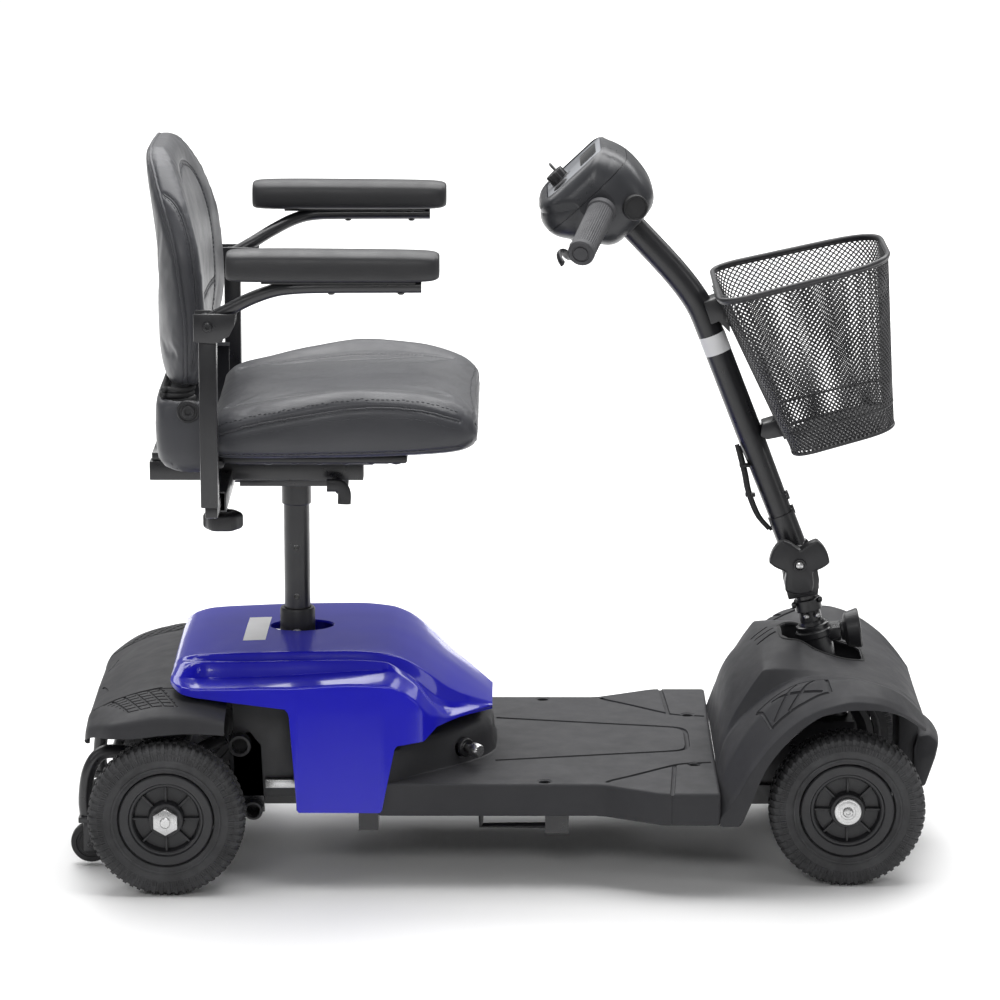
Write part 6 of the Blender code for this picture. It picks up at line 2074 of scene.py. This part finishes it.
def make_rear_tubes():
    """The anti-tip tubes with their rollers."""
    route = (
        (-0.364, 0.17), (-0.4, 0.152), (-0.44, 0.139), (-0.495, 0.15), (-0.524, 0.148), (-0.54, 0.125),
        (-0.5455, 0.09), (-0.544, 0.064),
    )
    parts = [pipe([(-0.505, y, 0.15) for y in (-0.105, 0, 0.105)], 0.007, 20)]
    for side, sign in SIDES:
        y = sign * 0.105
        parts.append(pipe(spline([(x, y, z) for x, z in route], 8), 0.009, 20))
        parts.append(box((-0.554, y - 0.013, 0.058), (-0.534, y + 0.013, 0.066), 0.0012))
        for low in (-0.0128, 0.0098):
            parts.append(box((-0.548, y + low, 0.02), (-0.531, y + low + 0.003, 0.061), 0.0012))
            out = math.copysign(1, low)
            spot = (ROLLER_X, y + out * 0.0128, ROLLER_Z)
            parts.append(bolt(spot, (0, out, 0), 0.0045, 0.0026, 16))
        tyre = lathe(
            (
                (0.0042, 0.008), (0.015, 0.008), (0.0158, 0.0066), (0.0185, 0.0066), (0.0195, 0.008),
                (0.023, 0.008), (0.0258, 0.0062), (0.0265, 0.0035), (0.0265, -0.0035), (0.0258, -0.0062),
                (0.023, -0.008), (0.0195, -0.008), (0.0185, -0.0066), (0.0158, -0.0066), (0.015, -0.008),
                (0.0042, -0.008),
            ),
            (ROLLER_X, y, ROLLER_Z),
            (0, sign, 0),
            40,
            closed=True,
        )
        add_piece(
            f"anti_tip_roller_{side}", tyre, SOFT_RUBBER, f"anti_tip_wheel_{side}",
            f"anti_tip_wheel_{side}",
        )
    add_piece("anti_tip_tubes", join(*parts), PAINT, "chassis", "anti_tip_frame", smooth=40)


def make_frame_sleeves():
    """The dark sleeves and plates of the rear frame behind the wheels."""
    caps = []
    for sign in (LEFT, RIGHT):
        for x, y, z, radius in ((-0.326, 0.14, 0.086, 0.012), (-0.342, 0.1405, 0.172, 0.014)):
            inner = radius - 0.003
            profile = (
                (inner, 0.0), (radius + 0.0004, 0.0), (radius + 0.0004, 0.014), (radius - 0.0004, 0.0155),
                (inner, 0.0155),
            )
            caps.append(lathe(profile, (x, sign * y, z), (0, sign, 0), 32, closed=True))
    for sign in (LEFT, RIGHT):
        low, high = span(sign, 0.132, 0.137)
        caps.append(box((-0.352, low, 0.1), (-0.262, high, 0.232), 0.001))
    add_piece("rear_frame_sleeves", join(*caps), TRIM_PLASTIC, "chassis")


def make_rear_latch():
    """The bright bars that the two halves of the frame hook on."""
    bars = []
    for sign in (LEFT, RIGHT):
        low, high = span(sign, 0.14, 0.147)
        bars.append(box((-0.311, low, 0.114), (-0.264, high, 0.125), 0.0012))
    add_piece("rear_frame_latch", join(*bars), ZINC, "chassis")


def make_seat_socket():
    """The drilled seat post, and the collar and bolt of its socket."""
    collar = lathe(
        (
            (0.018, 0.272), (0.0222, 0.272), (0.0228, 0.2735), (0.0228, 0.315), (0.0216, 0.3175),
            (0.018, 0.3175),
        ),
        (POST_X, 0, 0),
        UP,
        40,
        closed=True,
    )
    add_piece("seat_socket_collar", collar, TRIM_PLASTIC, "chassis")
    head = hexagon((POST_X, -0.0222, 0.284), (0, -1, 0), 0.014, 0.005)
    washer = rod(0.0088, -0.001, 0.0008, (POST_X, -0.0224, 0.284), (0, -1, 0), 24)
    add_piece("seat_socket_bolt", join(head, washer), ZINC, "chassis")
    tube = pipe([(POST_X, 0, z) for z in (0.106, 0.3, 0.456)], 0.0169, 40)
    sleeve = lathe(
        ((0, 0.456), (0.0186, 0.456), (0.0192, 0.4568), (0.0192, 0.4848), (0, 0.4848)),
        (POST_X, 0, 0),
        UP,
        40,
    )
    drilled = tube
    for z in (0.335, 0.4):
        pin = rod(0.0036, -0.03, 0.03, (POST_X, 0, z), ACROSS, 20)
        drilled = boolean(drilled, pin)
    add_piece("seat_post_steel", join(drilled, sleeve), PAINT, "seat_post", "seat_post")


def make_plunger():
    """The release plunger in the riser, with the ring round it."""
    axis = Vector((1, -1, 0)).normalized()
    mouth = Vector((-0.0535, -0.1165, 0.16))
    bezel = lathe(
        (
            (0.0055, -0.003), (0.0122, -0.003), (0.0122, 0.001), (0.011, 0.0022), (0.008, 0.0022),
            (0.0055, 0.001),
        ),
        mouth,
        axis,
        36,
        closed=True,
    )
    add_piece("release_plunger_bezel", bezel, TRIM_PLASTIC, "chassis")
    button = lathe(
        (
            (0, -0.0175), (0.0044, -0.0175), (0.0044, 0.013), (0.0088, 0.0132), (0.0092, 0.0145),
            (0.0086, 0.0235), (0.007, 0.0258), (0, 0.0262),
        ),
        mouth,
        axis,
        32,
    )
    add_piece("release_plunger_button", button, ZINC, "release_plunger", "release_plunger")


def make_swivel_lever():
    """A rod out of the seat base that ends in a flat curved paddle."""
    stem = pipe([(-0.216, y, 0.489) for y in (-0.046, -0.06, -0.08)], 0.0042, 16)
    line = spline(
        ((-0.231, 0.0, 0.4975), (-0.215, 0.0, 0.4965), (-0.209, 0.0, 0.488), (-0.209, 0.0, 0.473)), 6
    )
    paddle = pipe([(x, -0.084, z) for x, _, z in line], 0.0085, 16, None, 0.36)
    add_piece(
        "swivel_lever_paddle", join(stem, paddle), KNOB_PLASTIC, "swivel_lever", "swivel_lever", smooth=45
    )


make_tiller_tube()
make_column()
make_tilt_knob()
make_lock_knob()
make_head_pod()
make_console()
make_dial_and_key()
make_grips()
make_throttle()
make_basket()
make_axle_ends()
make_rear_tubes()
make_frame_sleeves()
make_rear_latch()
make_seat_socket()
make_plunger()
make_swivel_lever()
